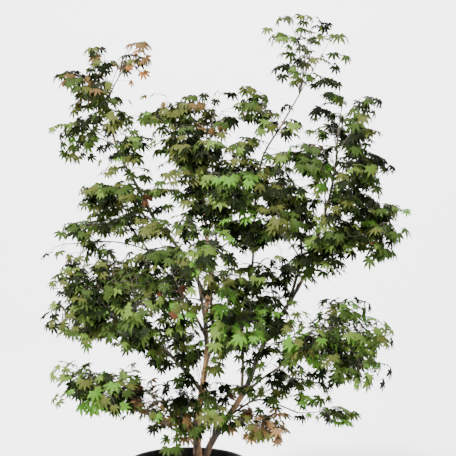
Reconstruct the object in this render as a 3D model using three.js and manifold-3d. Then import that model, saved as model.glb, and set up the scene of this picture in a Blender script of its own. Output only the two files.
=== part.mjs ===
// A potted japanese maple, 1.7 m tall with its pot: a black nursery pot filled with potting mix, a short
// flared trunk that forks just above it, tapering boughs, and masses of palmate leaves on twigs.
// Millimetres, +Z up. The origin is the middle of the pot's flat underside, and the plant is seen from -Y.
import * as THREE from "three";
import { mergeVertices } from "three/addons/utils/BufferGeometryUtils.js";
import Module from "manifold-3d";

const wasm = await Module();
wasm.setup();

const GAP = 0.3; // clearance between pieces that meet
const CLEAR = 1; // clearance of a twig or leaf from a piece that it doesn't grow from
const COARSE = 0.3; // details of a joint between twigs that are smaller than this are left out
const FACET = 0.02; // what a flat-sided limb is grown by on top of the gap, before it cuts another piece
const DEGREE = Math.PI / 180;

// The pot and what fills it
const POT = { height: 342, rim: 190, foot: 150, wall: 3, floor: 6, lip: 8, lipDepth: 20, sides: 30 };
const DRAINS = { count: 4, radius: 9, ring: 115, sides: 8 };
const SOIL = { top: 300, flat: 95, sag: 5, sides: 24 };

// The trunk, from a flat cut on the soil to the stubs of its two stems
const TRUNK = {
  x: 44, y: 0, foot: 42, neck: 25, neckHeight: 48, lobes: 5, lobeDepth: 0.13, sides: 15, rings: 5,
};
const STUB_END = 98; // height over the soil at which the trunk's two stubs end

// The leaves: palm to tip, stalk from the twig's axis to the palm, how far its end stays from that axis,
// thickness at the palm, and droop of the lobes. A twig's vigour adds to the least share of the length.
const LEAF = { length: 75, stalk: 25, inset: 0.3, thickness: 3, droop: 0.3, least: 0.86, vigour: 0.28 };
// Each lobe's direction from the midrib in degrees and its share of the length, with the notches between
const HALF_OUTLINE = [[0, 1], [23, 0.42], [46, 0.92], [72, 0.36], [98, 0.62], [150, 0.15]];
const PAIR = 76; // each of a twig's two leaves turns this far from the twig's heading, in degrees
const SWAY = 30; // a pair turns by up to half of this to either side, in degrees
const SPREADING = 0.8; // how much a pair's heading leans away from the middle of its mass
const TURNS = [0, 25, -25, 50, -50, 90]; // turns of the pair that are tried, in degrees
// The leaves of a mass lie in layers that face up, outward from the trunk and to the front or the back
const FACING = { outward: 0.45 / 500, sideward: 0.5, unevenness: 0.25, back: 110 };

const SPRAY = { across: 80, up: 26 }; // a pair of leaves reaches this far from its twig's tip
const SPACE = 1.32; // leaves may stand out of their mass's space by this factor
const TWIG = { base: 1.6, tip: 2, bud: 2.5, first: 0.42, backward: 0.35 };
// The stem of a mass follows its limb at first, then bends to the middle. Above the fewest pairs it has two.
const STEM = { base: 3.6, tip: 3.4, thinnest: 0.95, lead: 0.3, bend: 0.3, fewest: 4 };
// The twigs' tips climb through this share of a mass's height, and stand out by these shares of its reach
const CLIMB = { from: -0.9, rise: 1.8 };
const STANDING = { least: 0.85, spread: 0.15, narrowing: 0.5 };
const GOLDEN_TURN = 137.5 * DEGREE;
const SEED = { first: 1000, step: 77 };

// Stems and boughs. Each starts on another limb, at a share of its length, and passes through its points. It
// thins evenly from its base to its tip, or faster at first by the power in taper.
const SOIL_LEVEL = SOIL.top + GAP;
const LIMBS = [
  { name: "leader", start: [38, 0, SOIL_LEVEL], base: 15, tip: 4.2, taper: 1.8, steps: 12, sides: 8,
    via: [[31, 0, 375], [27, 8, 455], [45, 0, 565], [60, -10, 690], [56, 0, 765], [70, 10, 930],
      [56, 0, 1080], [48, -5, 1215]] },
  { name: "right_stem", start: [50, 0, SOIL_LEVEL], base: 11.5, tip: 5, steps: 10, sides: 8,
    via: [[60, 0, 370], [84, 0, 422], [155, -10, 532], [180, -5, 575], [215, 0, 665], [250, 0, 740],
      [315, 0, 840], [370, 0, 940]] },
  { name: "bough_upright", on: "right_stem", at: 0.385, base: 4.8, tip: 2.4, steps: 11, sides: 6,
    via: [[170, 30, 660], [166, 45, 760], [200, 45, 955], [202, 35, 1060], [228, 20, 1270], [286, 0, 1372],
      [338, -10, 1462]] },
  { name: "bough_right", on: "right_stem", at: 0.375, base: 5, tip: 2.8, steps: 6, sides: 6,
    via: [[215, -40, 598], [270, -80, 645], [345, -110, 705]] },
  { name: "bough_low_right", on: "right_stem", at: 0.28, base: 3.6, tip: 2.4, steps: 7, sides: 6,
    via: [[205, 50, 522], [245, 80, 515], [345, 125, 468]] },
  { name: "bough_left", on: "leader", at: 0.285, base: 6.8, tip: 4.3, steps: 7, sides: 6,
    via: [[-5, -40, 632], [-75, -100, 712], [-135, -130, 748]] },
  { name: "bough_low_left", on: "leader", at: 0.13, base: 4.4, tip: 2.6, steps: 7, sides: 6,
    via: [[-28, -70, 455], [-90, -125, 508], [-185, -145, 548]] },
  { name: "bough_upper_left", on: "leader", at: 0.585, base: 7, tip: 3.4, steps: 10, sides: 6,
    via: [[5, 55, 945], [-55, 85, 1025], [-105, 95, 1085], [-160, 80, 1190], [-212, 62, 1288],
      [-240, 52, 1395], [-245, 45, 1440]] },
  { name: "bough_mid_left", on: "leader", at: 0.47, base: 5, tip: 2.8, steps: 7, sides: 6,
    via: [[-20, 110, 850], [-95, 150, 940], [-165, 135, 1030]] },
  { name: "bough_inner", on: "right_stem", at: 0.83, base: 5, tip: 3, steps: 6, sides: 6,
    via: [[350, 35, 985], [334, 55, 1075], [320, 65, 1140]] },
  { name: "bough_right_up", on: "right_stem", at: 0.97, base: 4.8, tip: 2.8, steps: 8, sides: 6,
    via: [[398, -30, 1050], [428, -50, 1160], [446, -45, 1260], [452, -35, 1335]] },
  { name: "bough_right_out", on: "right_stem", at: 0.95, base: 4.2, tip: 2.8, steps: 5, sides: 6,
    via: [[415, 25, 975], [470, 45, 1000], [515, 50, 1025]] },
  { name: "bough_high", on: "leader", at: 0.9, base: 3.8, tip: 2.6, steps: 5, sides: 6,
    via: [[10, 45, 1180], [-22, 50, 1260], [-38, 40, 1330]] },
  { name: "bough_front", on: "leader", at: 0.5, base: 5.5, tip: 3, steps: 7, sides: 6,
    via: [[48, -60, 830], [38, -150, 925], [55, -215, 1000]] },
  { name: "bough_back", on: "leader", at: 0.36, base: 6, tip: 3, steps: 8, sides: 6,
    via: [[75, 65, 720], [70, 160, 850], [85, 215, 1000], [80, 225, 1110]] },
];

// What is left of a limb that was pruned off, low down between the two stems
const PRUNED = {
  on: "right_stem", foot: [79, -1, 412], top: [86, -6, 466], base: 7.5, tip: 6.2, sides: 6, steps: 1,
};

// Masses of foliage. Each is a space, its centre and its reach from there, filled by twigs from one stem that
// starts on a limb at a share of its length. Some are tinted by the autumn.
const GREEN = 0x5f7f38;
const OLIVE = 0x76763a;
const AMBER = 0xb9803f;
const RUSSET = 0xb5825a;
const FOLIAGE = [
  { name: "foliage_top_shoot", on: "bough_upright", at: 1, centre: [352, -20, 1605],
    reach: [120, 105, 118], pairs: 6 },
  { name: "foliage_right_top", on: "bough_right_up", at: 1, centre: [468, -40, 1450],
    reach: [125, 100, 68], pairs: 5 },
  { name: "foliage_right_brow", on: "bough_right_up", at: 0.88, centre: [440, 95, 1378],
    reach: [105, 95, 60], pairs: 3 },
  { name: "foliage_right_dark", on: "bough_right_up", at: 0.72, centre: [548, 15, 1285],
    reach: [105, 115, 100], pairs: 4 },
  { name: "foliage_right_high", on: "bough_right_out", at: 1, centre: [575, 100, 1145],
    reach: [100, 105, 95], pairs: 5 },
  { name: "foliage_right_shelf", on: "bough_right_out", at: 0.7, centre: [560, -70, 1040],
    reach: [115, 110, 70], pairs: 4 },
  { name: "foliage_right_inner", on: "bough_right_up", at: 0.45, centre: [392, -115, 1245],
    reach: [105, 100, 80], pairs: 4 },
  { name: "foliage_inner_right", on: "bough_inner", at: 1, centre: [235, 130, 1205],
    reach: [125, 115, 85], pairs: 4 },
  { name: "foliage_high_right", on: "bough_upright", at: 0.86, centre: [200, 30, 1432],
    reach: [110, 100, 70], pairs: 4 },
  { name: "foliage_high", on: "leader", at: 0.93, centre: [85, -15, 1410],
    reach: [110, 105, 70], pairs: 4 },
  { name: "foliage_high_left", on: "bough_high", at: 1, centre: [-50, 30, 1402],
    reach: [110, 100, 70], pairs: 4 },
  { name: "foliage_heart", on: "leader", at: 1, centre: [20, -60, 1300],
    reach: [115, 105, 72], pairs: 4 },
  { name: "foliage_heart_left", on: "leader", at: 0.88, centre: [-45, -115, 1180],
    reach: [115, 105, 85], pairs: 4 },
  { name: "foliage_heart_right", on: "leader", at: 0.8, centre: [135, -145, 1175],
    reach: [110, 105, 85], pairs: 4 },
  { name: "foliage_centre_right", on: "bough_inner", at: 0.4, centre: [245, -100, 1065],
    reach: [115, 110, 85], pairs: 4 },
  { name: "foliage_front", on: "bough_front", at: 1, centre: [60, -300, 1040],
    reach: [130, 115, 85], pairs: 6 },
  { name: "foliage_centre_left", on: "bough_upper_left", at: 0.27, centre: [-85, -40, 1000],
    reach: [115, 105, 75], pairs: 4 },
  { name: "foliage_left_high", on: "bough_upper_left", at: 0.96, centre: [-302, 45, 1478],
    reach: [115, 110, 70], pairs: 5, tint: OLIVE },
  { name: "foliage_left_spray", on: "bough_upper_left", at: 1, centre: [-165, 20, 1572],
    reach: [95, 85, 72], pairs: 4, tint: AMBER },
  { name: "foliage_left_brow", on: "bough_upper_left", at: 0.8, centre: [-335, 125, 1345],
    reach: [100, 95, 80], pairs: 3 },
  { name: "foliage_left_shoulder", on: "bough_upper_left", at: 0.74, centre: [-175, 0, 1335],
    reach: [95, 90, 90], pairs: 4 },
  { name: "foliage_left_shelf", on: "bough_mid_left", at: 1, centre: [-245, 160, 1125],
    reach: [125, 115, 78], pairs: 4 },
  { name: "foliage_left_outer", on: "bough_mid_left", at: 0.85, centre: [-350, 40, 1010],
    reach: [115, 110, 75], pairs: 4 },
  { name: "foliage_left_far", on: "bough_left", at: 1, centre: [-290, -95, 860],
    reach: [145, 125, 112], pairs: 6 },
  { name: "foliage_left_back", on: "bough_mid_left", at: 0.5, centre: [-230, 235, 880],
    reach: [130, 120, 95], pairs: 4 },
  { name: "foliage_left_near", on: "bough_left", at: 0.9, centre: [-135, -215, 860],
    reach: [105, 100, 90], pairs: 4 },
  { name: "foliage_left_inner", on: "bough_front", at: 0.35, centre: [-35, -165, 860],
    reach: [95, 100, 105], pairs: 4 },
  { name: "foliage_low_left", on: "bough_low_left", at: 1, centre: [-275, -160, 595],
    reach: [150, 120, 66], pairs: 6 },
  { name: "foliage_foot_left", on: "bough_low_left", at: 0.55, centre: [-110, -95, 548],
    reach: [90, 85, 45], pairs: 2, tint: OLIVE },
  { name: "foliage_foot", on: "leader", at: 0.19, centre: [-5, -75, 500],
    reach: [90, 85, 70], pairs: 3, tint: OLIVE },
  { name: "foliage_foot_right", on: "right_stem", at: 0.22, centre: [85, -75, 545],
    reach: [80, 80, 60], pairs: 2 },
  { name: "foliage_low_front", on: "bough_front", at: 0.25, centre: [150, -210, 805],
    reach: [120, 110, 82], pairs: 4 },
  { name: "foliage_right_near", on: "bough_right", at: 0.78, centre: [372, -205, 742],
    reach: [105, 100, 72], pairs: 4 },
  { name: "foliage_right_far", on: "bough_right", at: 1, centre: [525, -90, 780],
    reach: [120, 110, 75], pairs: 5 },
  { name: "foliage_right_low", on: "bough_right", at: 0.88, centre: [500, -165, 672],
    reach: [120, 105, 60], pairs: 4 },
  { name: "foliage_low_right", on: "right_stem", at: 0.17, centre: [225, -80, 478],
    reach: [120, 90, 52], pairs: 4, tint: RUSSET },
  { name: "foliage_droop_right", on: "bough_low_right", at: 1, centre: [450, 175, 468],
    reach: [125, 100, 60], pairs: 4 },
  { name: "foliage_back_low", on: "bough_back", at: 0.55, centre: [-15, 290, 900],
    reach: [130, 115, 95], pairs: 4 },
  { name: "foliage_back_right", on: "bough_back", at: 0.75, centre: [295, 270, 1035],
    reach: [130, 120, 95], pairs: 4 },
  { name: "foliage_back_high", on: "bough_back", at: 1, centre: [75, 250, 1240],
    reach: [130, 115, 95], pairs: 4 },
  { name: "foliage_centre_far", on: "bough_inner", at: 0.7, centre: [345, -15, 1122],
    reach: [105, 100, 75], pairs: 4 },
  { name: "foliage_fork", on: "right_stem", at: 0.93, centre: [400, -80, 990],
    reach: [90, 90, 60], pairs: 3 },
];

const FINISH = {
  pot: { color: 0x17181a, roughness: 0.5 },
  soil: { color: 0x3a2c20, roughness: 0.95 },
  bark: { color: 0x7a5f45, roughness: 0.85 },
};

const vector = (point) => new THREE.Vector3(...point);

// Solids from three.js geometry, and back

function solidOf(geometry) {
  const bare = geometry.clone();
  for (const name of Object.keys(bare.attributes)) {
    if (name !== "position") bare.deleteAttribute(name);
  }
  const merged = mergeVertices(bare, 1e-4);
  const triVerts = new Uint32Array(merged.index.array);
  const mesh = new wasm.Mesh({ numProp: 3, vertProperties: merged.attributes.position.array, triVerts });
  return new wasm.Manifold(mesh);
}

function geometryOf(solid) {
  const mesh = solid.getMesh();
  const geometry = new THREE.BufferGeometry();
  geometry.setAttribute("position", new THREE.BufferAttribute(mesh.vertProperties, 3));
  geometry.setIndex(new THREE.BufferAttribute(mesh.triVerts, 1));
  geometry.computeVertexNormals();
  return geometry;
}

// A closed surface from rows of points, each row a ring, with a point that closes each end.
function closedRings(rings, first, last) {
  const sides = rings[0].length;
  const points = [first, ...rings.flat(), last];
  const end = points.length - 1;
  const index = [];
  for (let side = 0; side < sides; side++) {
    const next = (side + 1) % sides;
    index.push(0, 1 + next, 1 + side);
    for (let row = 0; row + 1 < rings.length; row++) {
      const here = 1 + row * sides;
      const above = here + sides;
      index.push(here + side, here + next, above + next, here + side, above + next, above + side);
    }
    const top = 1 + (rings.length - 1) * sides;
    index.push(end, top + side, top + next);
  }
  return new THREE.BufferGeometry().setFromPoints(points).setIndex(index);
}

const radiusAt = ({ base, tip, taper = 1 }, share) => tip + (base - tip) * (1 - share) ** taper;

// A tapering tube of flat sides along a curve, between two shares of its length.
function taperedTube(curve, { base, tip, taper, from = 0, to = 1, steps, sides, grown = 0, shares }) {
  const rings = [];
  let across = null;
  const evenly = () => Array.from({ length: steps + 1 }, (_, step) => from + ((to - from) * step) / steps);
  const stations = shares ?? evenly();
  for (const share of stations) {
    const centre = curve.getPointAt(share);
    const along = curve.getTangentAt(share);
    across ??= new THREE.Vector3(Math.abs(along.x) > 0.9 ? 0 : 1, Math.abs(along.x) > 0.9 ? 1 : 0, 0);
    across.addScaledVector(along, -across.dot(along)).normalize();
    const other = along.clone().cross(across);
    const radius = radiusAt({ base, tip, taper }, share) + grown;
    rings.push(
      Array.from({ length: sides }, (_, side) => {
        const angle = (2 * Math.PI * side) / sides;
        return centre
          .clone()
          .addScaledVector(across, radius * Math.cos(angle))
          .addScaledVector(other, radius * Math.sin(angle));
      }),
    );
  }
  const ends = [from, to].map((share, i) => {
    const outward = curve.getTangentAt(share).multiplyScalar((i ? 1 : -1) * grown);
    for (const point of rings[i * (rings.length - 1)]) point.add(outward);
    return curve.getPointAt(share).add(outward);
  });
  return closedRings(rings, ends[0], ends[1]);
}

// The pot and the soil

function turned(profile, sides) {
  const points = profile.map(([radius, height]) => new THREE.Vector2(radius, height));
  return new THREE.LatheGeometry(points, sides).rotateX(Math.PI / 2);
}

function potSolid() {
  const { height, rim, foot, wall, floor, lip, lipDepth, sides } = POT;
  const underLip = height - lipDepth;
  const body = rim - lip;
  const profile = [
    [0, 0], [foot - 4, 0], [foot, 4], [body, underLip], [rim, underLip + 3], [rim, height - 4],
    [rim - 3, height], [body - wall + 3, height], [body - wall, height - 4], [body - wall, underLip],
    [foot - wall, floor], [0, floor],
  ];
  const shell = solidOf(turned(profile, sides));
  const drains = Array.from({ length: DRAINS.count }, (_, i) => {
    const angle = (2 * Math.PI * (i + 0.5)) / DRAINS.count;
    const hole = new THREE.CylinderGeometry(DRAINS.radius, DRAINS.radius, 4 * floor, DRAINS.sides);
    hole.rotateX(Math.PI / 2).translate(DRAINS.ring * Math.cos(angle), DRAINS.ring * Math.sin(angle), 0);
    return solidOf(hole);
  });
  return shell.subtract(wasm.Manifold.union(drains));
}

function soilSolid() {
  const { foot, wall, floor, rim, lip, height, lipDepth } = POT;
  const slope = (rim - lip - foot) / (height - lipDepth - floor);
  const bottom = floor + GAP;
  const edge = SOIL.top - SOIL.sag;
  // The pot has flat sides, so the mix is drawn in to lie within them
  const inside = (z) => (foot - wall + slope * (z - floor)) * Math.cos(Math.PI / POT.sides) - 2 * GAP;
  const profile = [
    [0, bottom], [inside(bottom), bottom], [inside(edge), edge], [SOIL.flat, SOIL.top], [0, SOIL.top],
  ];
  return solidOf(turned(profile, SOIL.sides));
}

// Limbs

const limbs = new Map();

function layLimbs() {
  for (const limb of LIMBS) {
    const start = limb.on ? limbs.get(limb.on).curve.getPointAt(limb.at) : vector(limb.start);
    const curve = new THREE.CatmullRomCurve3([start, ...limb.via.map(vector)], false, "centripetal");
    const laid = { ...limb, curve, from: 0 };
    if (!limb.on) laid.from = shareAt(laid, SOIL_LEVEL + STUB_END) + GAP / curve.getLength();
    limbs.set(limb.name, laid);
  }
}

// The share of a limb's length at which it rises through a height.
function shareAt(limb, height) {
  let low = 0;
  let high = 1;
  for (let i = 0; i < 30; i++) {
    const middle = (low + high) / 2;
    if (limb.curve.getPointAt(middle).z < height) low = middle;
    else high = middle;
  }
  return low;
}

// The flare is lobed where the roots leave, and round at the neck.
function flareSolid() {
  const { x, y, foot, neck, neckHeight, lobes, lobeDepth, sides, rings } = TRUNK;
  const rows = Array.from({ length: rings }, (_, row) => {
    const share = row / (rings - 1);
    const radius = neck + (foot - neck) * (1 - share) ** 2;
    return Array.from({ length: sides }, (_, side) => {
      const angle = (2 * Math.PI * side) / sides;
      const out = radius * (1 + lobeDepth * (1 - share) * Math.cos(lobes * angle));
      const height = SOIL_LEVEL + neckHeight * share;
      return new THREE.Vector3(x + out * Math.cos(angle), y + out * Math.sin(angle), height);
    });
  });
  const bottom = new THREE.Vector3(x, y, SOIL_LEVEL);
  const top = new THREE.Vector3(x, y, SOIL_LEVEL + neckHeight);
  return solidOf(closedRings(rows, bottom, top));
}

function trunkSolid() {
  const stubs = ["leader", "right_stem"].map((name) => {
    const limb = limbs.get(name);
    const from = shareAt(limb, SOIL_LEVEL + TRUNK.neckHeight / 2);
    const to = shareAt(limb, SOIL_LEVEL + STUB_END);
    return solidOf(taperedTube(limb.curve, { ...limb, from, to, steps: 3 }));
  });
  return wasm.Manifold.union([flareSolid(), ...stubs]);
}

function limbSolid(limb) {
  const tube = solidOf(taperedTube(limb.curve, limb));
  if (limb.name === PRUNED.on) return tube.add(prunedSolid());
  return limb.on ? clearOf(tube, limbs.get(limb.on)) : tube;
}

function prunedSolid() {
  return solidOf(taperedTube(new THREE.LineCurve3(vector(PRUNED.foot), vector(PRUNED.top)), PRUNED));
}

// A solid that starts inside a limb, cut back to meet that limb's skin.
function clearOf(solid, limb) {
  const skin = GAP / Math.cos(Math.PI / limb.sides) + FACET;
  return largest(solid.subtract(solidOf(taperedTube(limb.curve, { ...limb, grown: skin }))));
}

function largest(solid) {
  return solid.decompose().reduce((best, next) => (next.volume() > best.volume() ? next : best));
}

// Foliage

// The same numbers in the same order for the same seed, from 0 to 1.
function randomFrom(seed) {
  let state = seed;
  return () => {
    state = (state + 0x6d2b79f5) >>> 0;
    let mixed = Math.imul(state ^ (state >>> 15), state | 1);
    mixed ^= mixed + Math.imul(mixed ^ (mixed >>> 7), mixed | 61);
    return ((mixed ^ (mixed >>> 14)) >>> 0) / 2 ** 32;
  };
}

// The stem of a mass runs from its limb to the middle. One or two pairs of leaves sit on it, the others on
// twigs. The twigs' tips wind about the middle by the golden turn as they climb, and each twig leaves the stem
// at the free point that is nearest its tip, counted with a share of the way back to the foot.
function growTwigs(mass, index) {
  const random = randomFrom(SEED.first + SEED.step * index);
  const limb = limbs.get(mass.on);
  const foot = limb.curve.getPointAt(mass.at);
  const centre = vector(mass.centre);
  const lead = limb.curve.getTangentAt(mass.at).multiplyScalar(foot.distanceTo(centre) * STEM.lead);
  const stem = new THREE.QuadraticBezierCurve3(foot, foot.clone().add(lead).lerp(centre, STEM.bend), centre);
  const count = mass.pairs - (mass.pairs > STEM.fewest ? 2 : 1);
  const tips = twigTips(mass, centre, count, random).sort((a, b) => a.distanceTo(foot) - b.distanceTo(foot));
  const last = 1 - TWIG.bud / stem.getLength();
  const shares = tips.map((_, k) => TWIG.first + (last - TWIG.first) * ((k + 0.5) / count));
  const knots = shares.map((share) => stem.getPointAt(share));
  const sprays = tips.map((tip) => {
    const cost = (knot) => knot.distanceTo(tip) + TWIG.backward * knot.distanceTo(foot);
    const root = knots.reduce((best, knot) => (cost(knot) < cost(best) ? knot : best));
    knots.splice(knots.indexOf(root), 1);
    return { root, tip, heading: tip.clone().sub(root).normalize(), turn: random(), vigour: random() };
  });
  for (const share of mass.pairs > STEM.fewest ? [last, TWIG.first] : [last]) {
    const tip = stem.getPointAt(share);
    sprays.push({ tip, heading: stem.getTangentAt(share), turn: random(), vigour: random() });
  }
  return { stem, shares: [0, ...shares, 1], sprays, facing: facingOf(centre, random) };
}

function twigTips(mass, centre, count, random) {
  const inner = mass.reach.map((reach, i) => Math.max(reach - (i < 2 ? SPRAY.across : SPRAY.up), 18));
  const start = random() * 2 * Math.PI;
  return Array.from({ length: count }, (_, k) => {
    const height = count > 1 ? (CLIMB.rise * k) / (count - 1) + CLIMB.from : 0;
    const narrowed = Math.sqrt(1 - STANDING.narrowing * height * height);
    const out = (STANDING.least + STANDING.spread * random()) * narrowed;
    const angle = start + k * GOLDEN_TURN;
    const tip = new THREE.Vector3(out * Math.cos(angle), out * Math.sin(angle), height);
    return tip.multiply(vector(inner)).add(centre);
  });
}

function facingOf(centre, random) {
  const facing = new THREE.Vector3(centre.x - TRUNK.x, centre.y, 0).multiplyScalar(FACING.outward);
  facing.y += centre.y > FACING.back ? FACING.sideward : -FACING.sideward;
  facing.add(new THREE.Vector3(random() - 0.5, random() - 0.5, 0).multiplyScalar(FACING.unevenness));
  return facing.setZ(1).normalize();
}

// A palmate leaf of five lobes, thickest at the palm, on a stalk that starts inside its twig.
function leafGeometry({ root, heading, normal, size }) {
  const side = new THREE.Vector3().crossVectors(normal, heading);
  const palm = root.clone().addScaledVector(heading, LEAF.stalk);
  const at = (degrees, share) =>
    palm
      .clone()
      .addScaledVector(heading, Math.cos(degrees * DEGREE) * share * size)
      .addScaledVector(side, Math.sin(degrees * DEGREE) * share * size)
      .addScaledVector(normal, -LEAF.droop * share * share * size);
  const right = HALF_OUTLINE.map(([degrees, share]) => at(-degrees, share)).reverse();
  const left = HALF_OUTLINE.slice(1).map(([degrees, share]) => at(degrees, share));
  const stalkEnd = root.clone().addScaledVector(heading, LEAF.inset);
  const outline = [...right, ...left, stalkEnd];
  const half = LEAF.thickness / 2;
  return closedRings(
    [outline],
    palm.clone().addScaledVector(normal, -half),
    palm.clone().addScaledVector(normal, half),
  );
}

function within(mass, geometry) {
  const [x, y, z] = mass.reach;
  const position = geometry.attributes.position;
  const point = new THREE.Vector3();
  for (let i = 0; i < position.count; i++) {
    point.fromBufferAttribute(position, i).sub(vector(mass.centre)).divide(new THREE.Vector3(x, y, z));
    if (point.length() > SPACE) return false;
  }
  return true;
}

// The two leaves of a twig, one to each side of its heading, in the layer that its mass's leaves lie in.
function leavesOf(mass, twig, turn) {
  const normal = mass.facing;
  const outward = twig.tip.clone().sub(vector(mass.centre)).normalize();
  const out = twig.heading.clone().addScaledVector(outward, SPREADING);
  out.addScaledVector(normal, -out.dot(normal)).normalize();
  return [-PAIR, PAIR].map((spread) => {
    const degrees = spread + turn + (twig.turn - 0.5) * SWAY;
    const heading = out.clone().applyAxisAngle(normal, degrees * DEGREE);
    return { root: twig.tip, heading, normal, size: LEAF.length * (LEAF.least + LEAF.vigour * twig.vigour) };
  });
}

// The leaves that fit: inside the mass, clear of every limb and mass before it and of the leaves already
// there.
function fittingLeaves(mass, twig, near, blades) {
  let best = [];
  for (const turn of TURNS) {
    const fitting = [];
    for (const leaf of leavesOf(mass, twig, turn)) {
      const geometry = leafGeometry(leaf);
      const blade = solidOf(geometry);
      const crossed = blades.some((other) => boxesMeet(blade, other) && blade.minGap(other, CLEAR) < CLEAR);
      if (within(mass, geometry) && !near(blade) && !crossed) fitting.push(blade);
    }
    if (fitting.length > best.length) best = fitting;
    if (best.length === 2) break;
  }
  return best;
}

function stemSolid(mass, { stem, shares }) {
  const limb = limbs.get(mass.on);
  const base = Math.min(STEM.base, radiusAt(limb, mass.at) * STEM.thinnest);
  return solidOf(taperedTube(stem, { base, tip: STEM.tip, shares, sides: 3 }));
}

function twigSolid({ root, tip, heading }) {
  const path = new THREE.LineCurve3(root, tip.clone().addScaledVector(heading, TWIG.bud));
  return solidOf(taperedTube(path, { base: TWIG.base, tip: TWIG.tip, steps: 1, sides: 3 }));
}

// One mass, kept clear of the limbs, of the stems of all masses and of the masses already built.
function foliageSolid(mass, others) {
  const meets = (solid, other) => boxesMeet(solid, other) && solid.minGap(other, 2 * CLEAR) < CLEAR;
  const near = (solid) => others.some((other) => meets(solid, other));
  const pieces = [mass.stemSolid];
  const blades = [];
  for (const twig of mass.sprays) {
    const wood = twig.root ? twigSolid(twig) : mass.stemSolid;
    if (twig.root && near(wood)) continue;
    const fitting = fittingLeaves(mass, twig, near, blades);
    blades.push(...fitting);
    pieces.push(...fitting);
    if (twig.root && fitting.length) pieces.push(wood);
  }
  return clearOf(wasm.Manifold.union(pieces).simplify(COARSE), limbs.get(mass.on));
}

function boxesMeet(a, b) {
  const one = a.boundingBox();
  const two = b.boundingBox();
  return [0, 1, 2].every((i) => one.min[i] - 1 < two.max[i] && two.min[i] - 1 < one.max[i]);
}

// The whole plant

const plant = new THREE.Group();
plant.name = "potted_japanese_maple";

function groupOf(name) {
  const group = new THREE.Group();
  group.name = name;
  plant.add(group);
  return group;
}

function addNode(group, name, solid, finish) {
  const mesh = new THREE.Mesh(geometryOf(solid), new THREE.MeshStandardMaterial({ ...finish, metalness: 0 }));
  mesh.name = name;
  group.add(mesh);
  return solid;
}

layLimbs();
const container = groupOf("container");
addNode(container, "pot", potSolid(), FINISH.pot);
addNode(container, "soil", soilSolid(), FINISH.soil);

const frame = groupOf("frame");
const wood = [addNode(frame, "trunk", trunkSolid(), FINISH.bark)];
for (const limb of limbs.values()) wood.push(addNode(frame, limb.name, limbSolid(limb), FINISH.bark));

const crown = groupOf("crown");
const masses = FOLIAGE.map((mass, index) => {
  const growth = growTwigs(mass, index);
  return { ...mass, ...growth, stemSolid: stemSolid(mass, growth) };
});
const grown = [];
for (const mass of masses) {
  const stems = masses.filter((other) => other !== mass).map((other) => other.stemSolid);
  const solid = foliageSolid(mass, [...wood, ...stems, ...grown]);
  grown.push(addNode(crown, mass.name, solid, { color: mass.tint ?? GREEN, roughness: 0.6 }));
}

export default plant;
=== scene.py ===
"""The looks of the potted japanese maple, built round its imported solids.

Sizes are in millimetres until a mesh is made.
"""

import itertools
import math

import bpy
import numpy as np
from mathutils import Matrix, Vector


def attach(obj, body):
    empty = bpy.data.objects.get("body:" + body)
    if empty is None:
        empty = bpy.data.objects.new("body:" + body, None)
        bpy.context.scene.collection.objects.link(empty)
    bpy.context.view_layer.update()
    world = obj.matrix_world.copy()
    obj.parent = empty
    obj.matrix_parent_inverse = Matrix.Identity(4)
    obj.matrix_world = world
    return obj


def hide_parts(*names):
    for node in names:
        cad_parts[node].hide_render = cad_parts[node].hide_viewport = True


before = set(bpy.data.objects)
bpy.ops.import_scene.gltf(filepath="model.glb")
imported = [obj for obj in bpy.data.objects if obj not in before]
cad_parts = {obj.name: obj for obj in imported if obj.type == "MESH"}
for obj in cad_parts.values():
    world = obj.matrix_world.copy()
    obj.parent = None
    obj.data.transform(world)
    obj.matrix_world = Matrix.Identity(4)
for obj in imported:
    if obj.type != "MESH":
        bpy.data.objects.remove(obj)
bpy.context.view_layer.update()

MM = 0.001
UP = np.array([0, 0, 1.0])

# The camera, at the height of a viewer's chest, and its focal length and middle in the photograph's pixels
CAMERA = {"place": (124, -3200, 1200), "down": 2.5, "lens": 83.37, "sensor": 36}
FOCAL = 1056
CENTRE = 228

# Where the random draws of each kind start: the seed of its first member, and the step to the next
SEEDS = {"mass": (1000, 77), "mass_shoots": (7000, 1), "limb_shoots": (8000, 1), "sprig": (6000, 13),
         "leaf": (9000, 1), "limb_bark": (500, 31), "stem_bark": (300, 1), "stub_bark": (490, 0),
         "soil": (42, 0)}

# The pot and the soil, as in the source, with finer forms
POT = {"height": 342, "rim": 190, "foot": 150, "wall": 3, "floor": 6, "lip": 8, "lip_depth": 20, "sides": 120,
       "chamfer": 4, "middle": 40, "rounding": 1.6}
# The pot's ribs: the feet of the low ones, how far under the lip the feet of the high ones are, and a rib's
# profile as how far it stands out and how high that is above its foot
RIBS = {"low": (24, 30), "under_lip": (46, 40)}
RIB = [(0.2, 0), (1.2, 1.5), (1.2, 3.5), (0.2, 5)]
DRAINS = {"count": 4, "radius": 9, "ring": 115, "sides": 24}
SOIL = {"top": 300, "sag": 5, "flat": 95, "depth": 30, "gap": 0.6, "lowered": 1.6, "rough": 0.45, "calm": 60}
SOIL_LEVEL = SOIL["top"] + 0.3
# Chips that lie on the mix, with the shares up to which they are dark and brown, and the faces of each
CHIPS = {"count": 900, "margin": 8, "least": 3, "more": 9, "lift": 0.8, "dark": 0.45, "brown": 0.82}
BOX_FACES = [(0, 1, 3, 2), (4, 6, 7, 5), (0, 4, 5, 1), (2, 3, 7, 6), (0, 2, 6, 4), (1, 5, 7, 3)]

# The trunk's flare, as in the source, a little sunk in the mix and reaching over the neck
TRUNK = {"x": 44, "y": 0, "foot": 42, "neck": 25, "neck_height": 48, "lobes": 5, "lobe_depth": 0.13}
FLARE = {"rings": 22, "sides": 60, "sunk": 0.3, "over": 8}
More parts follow.
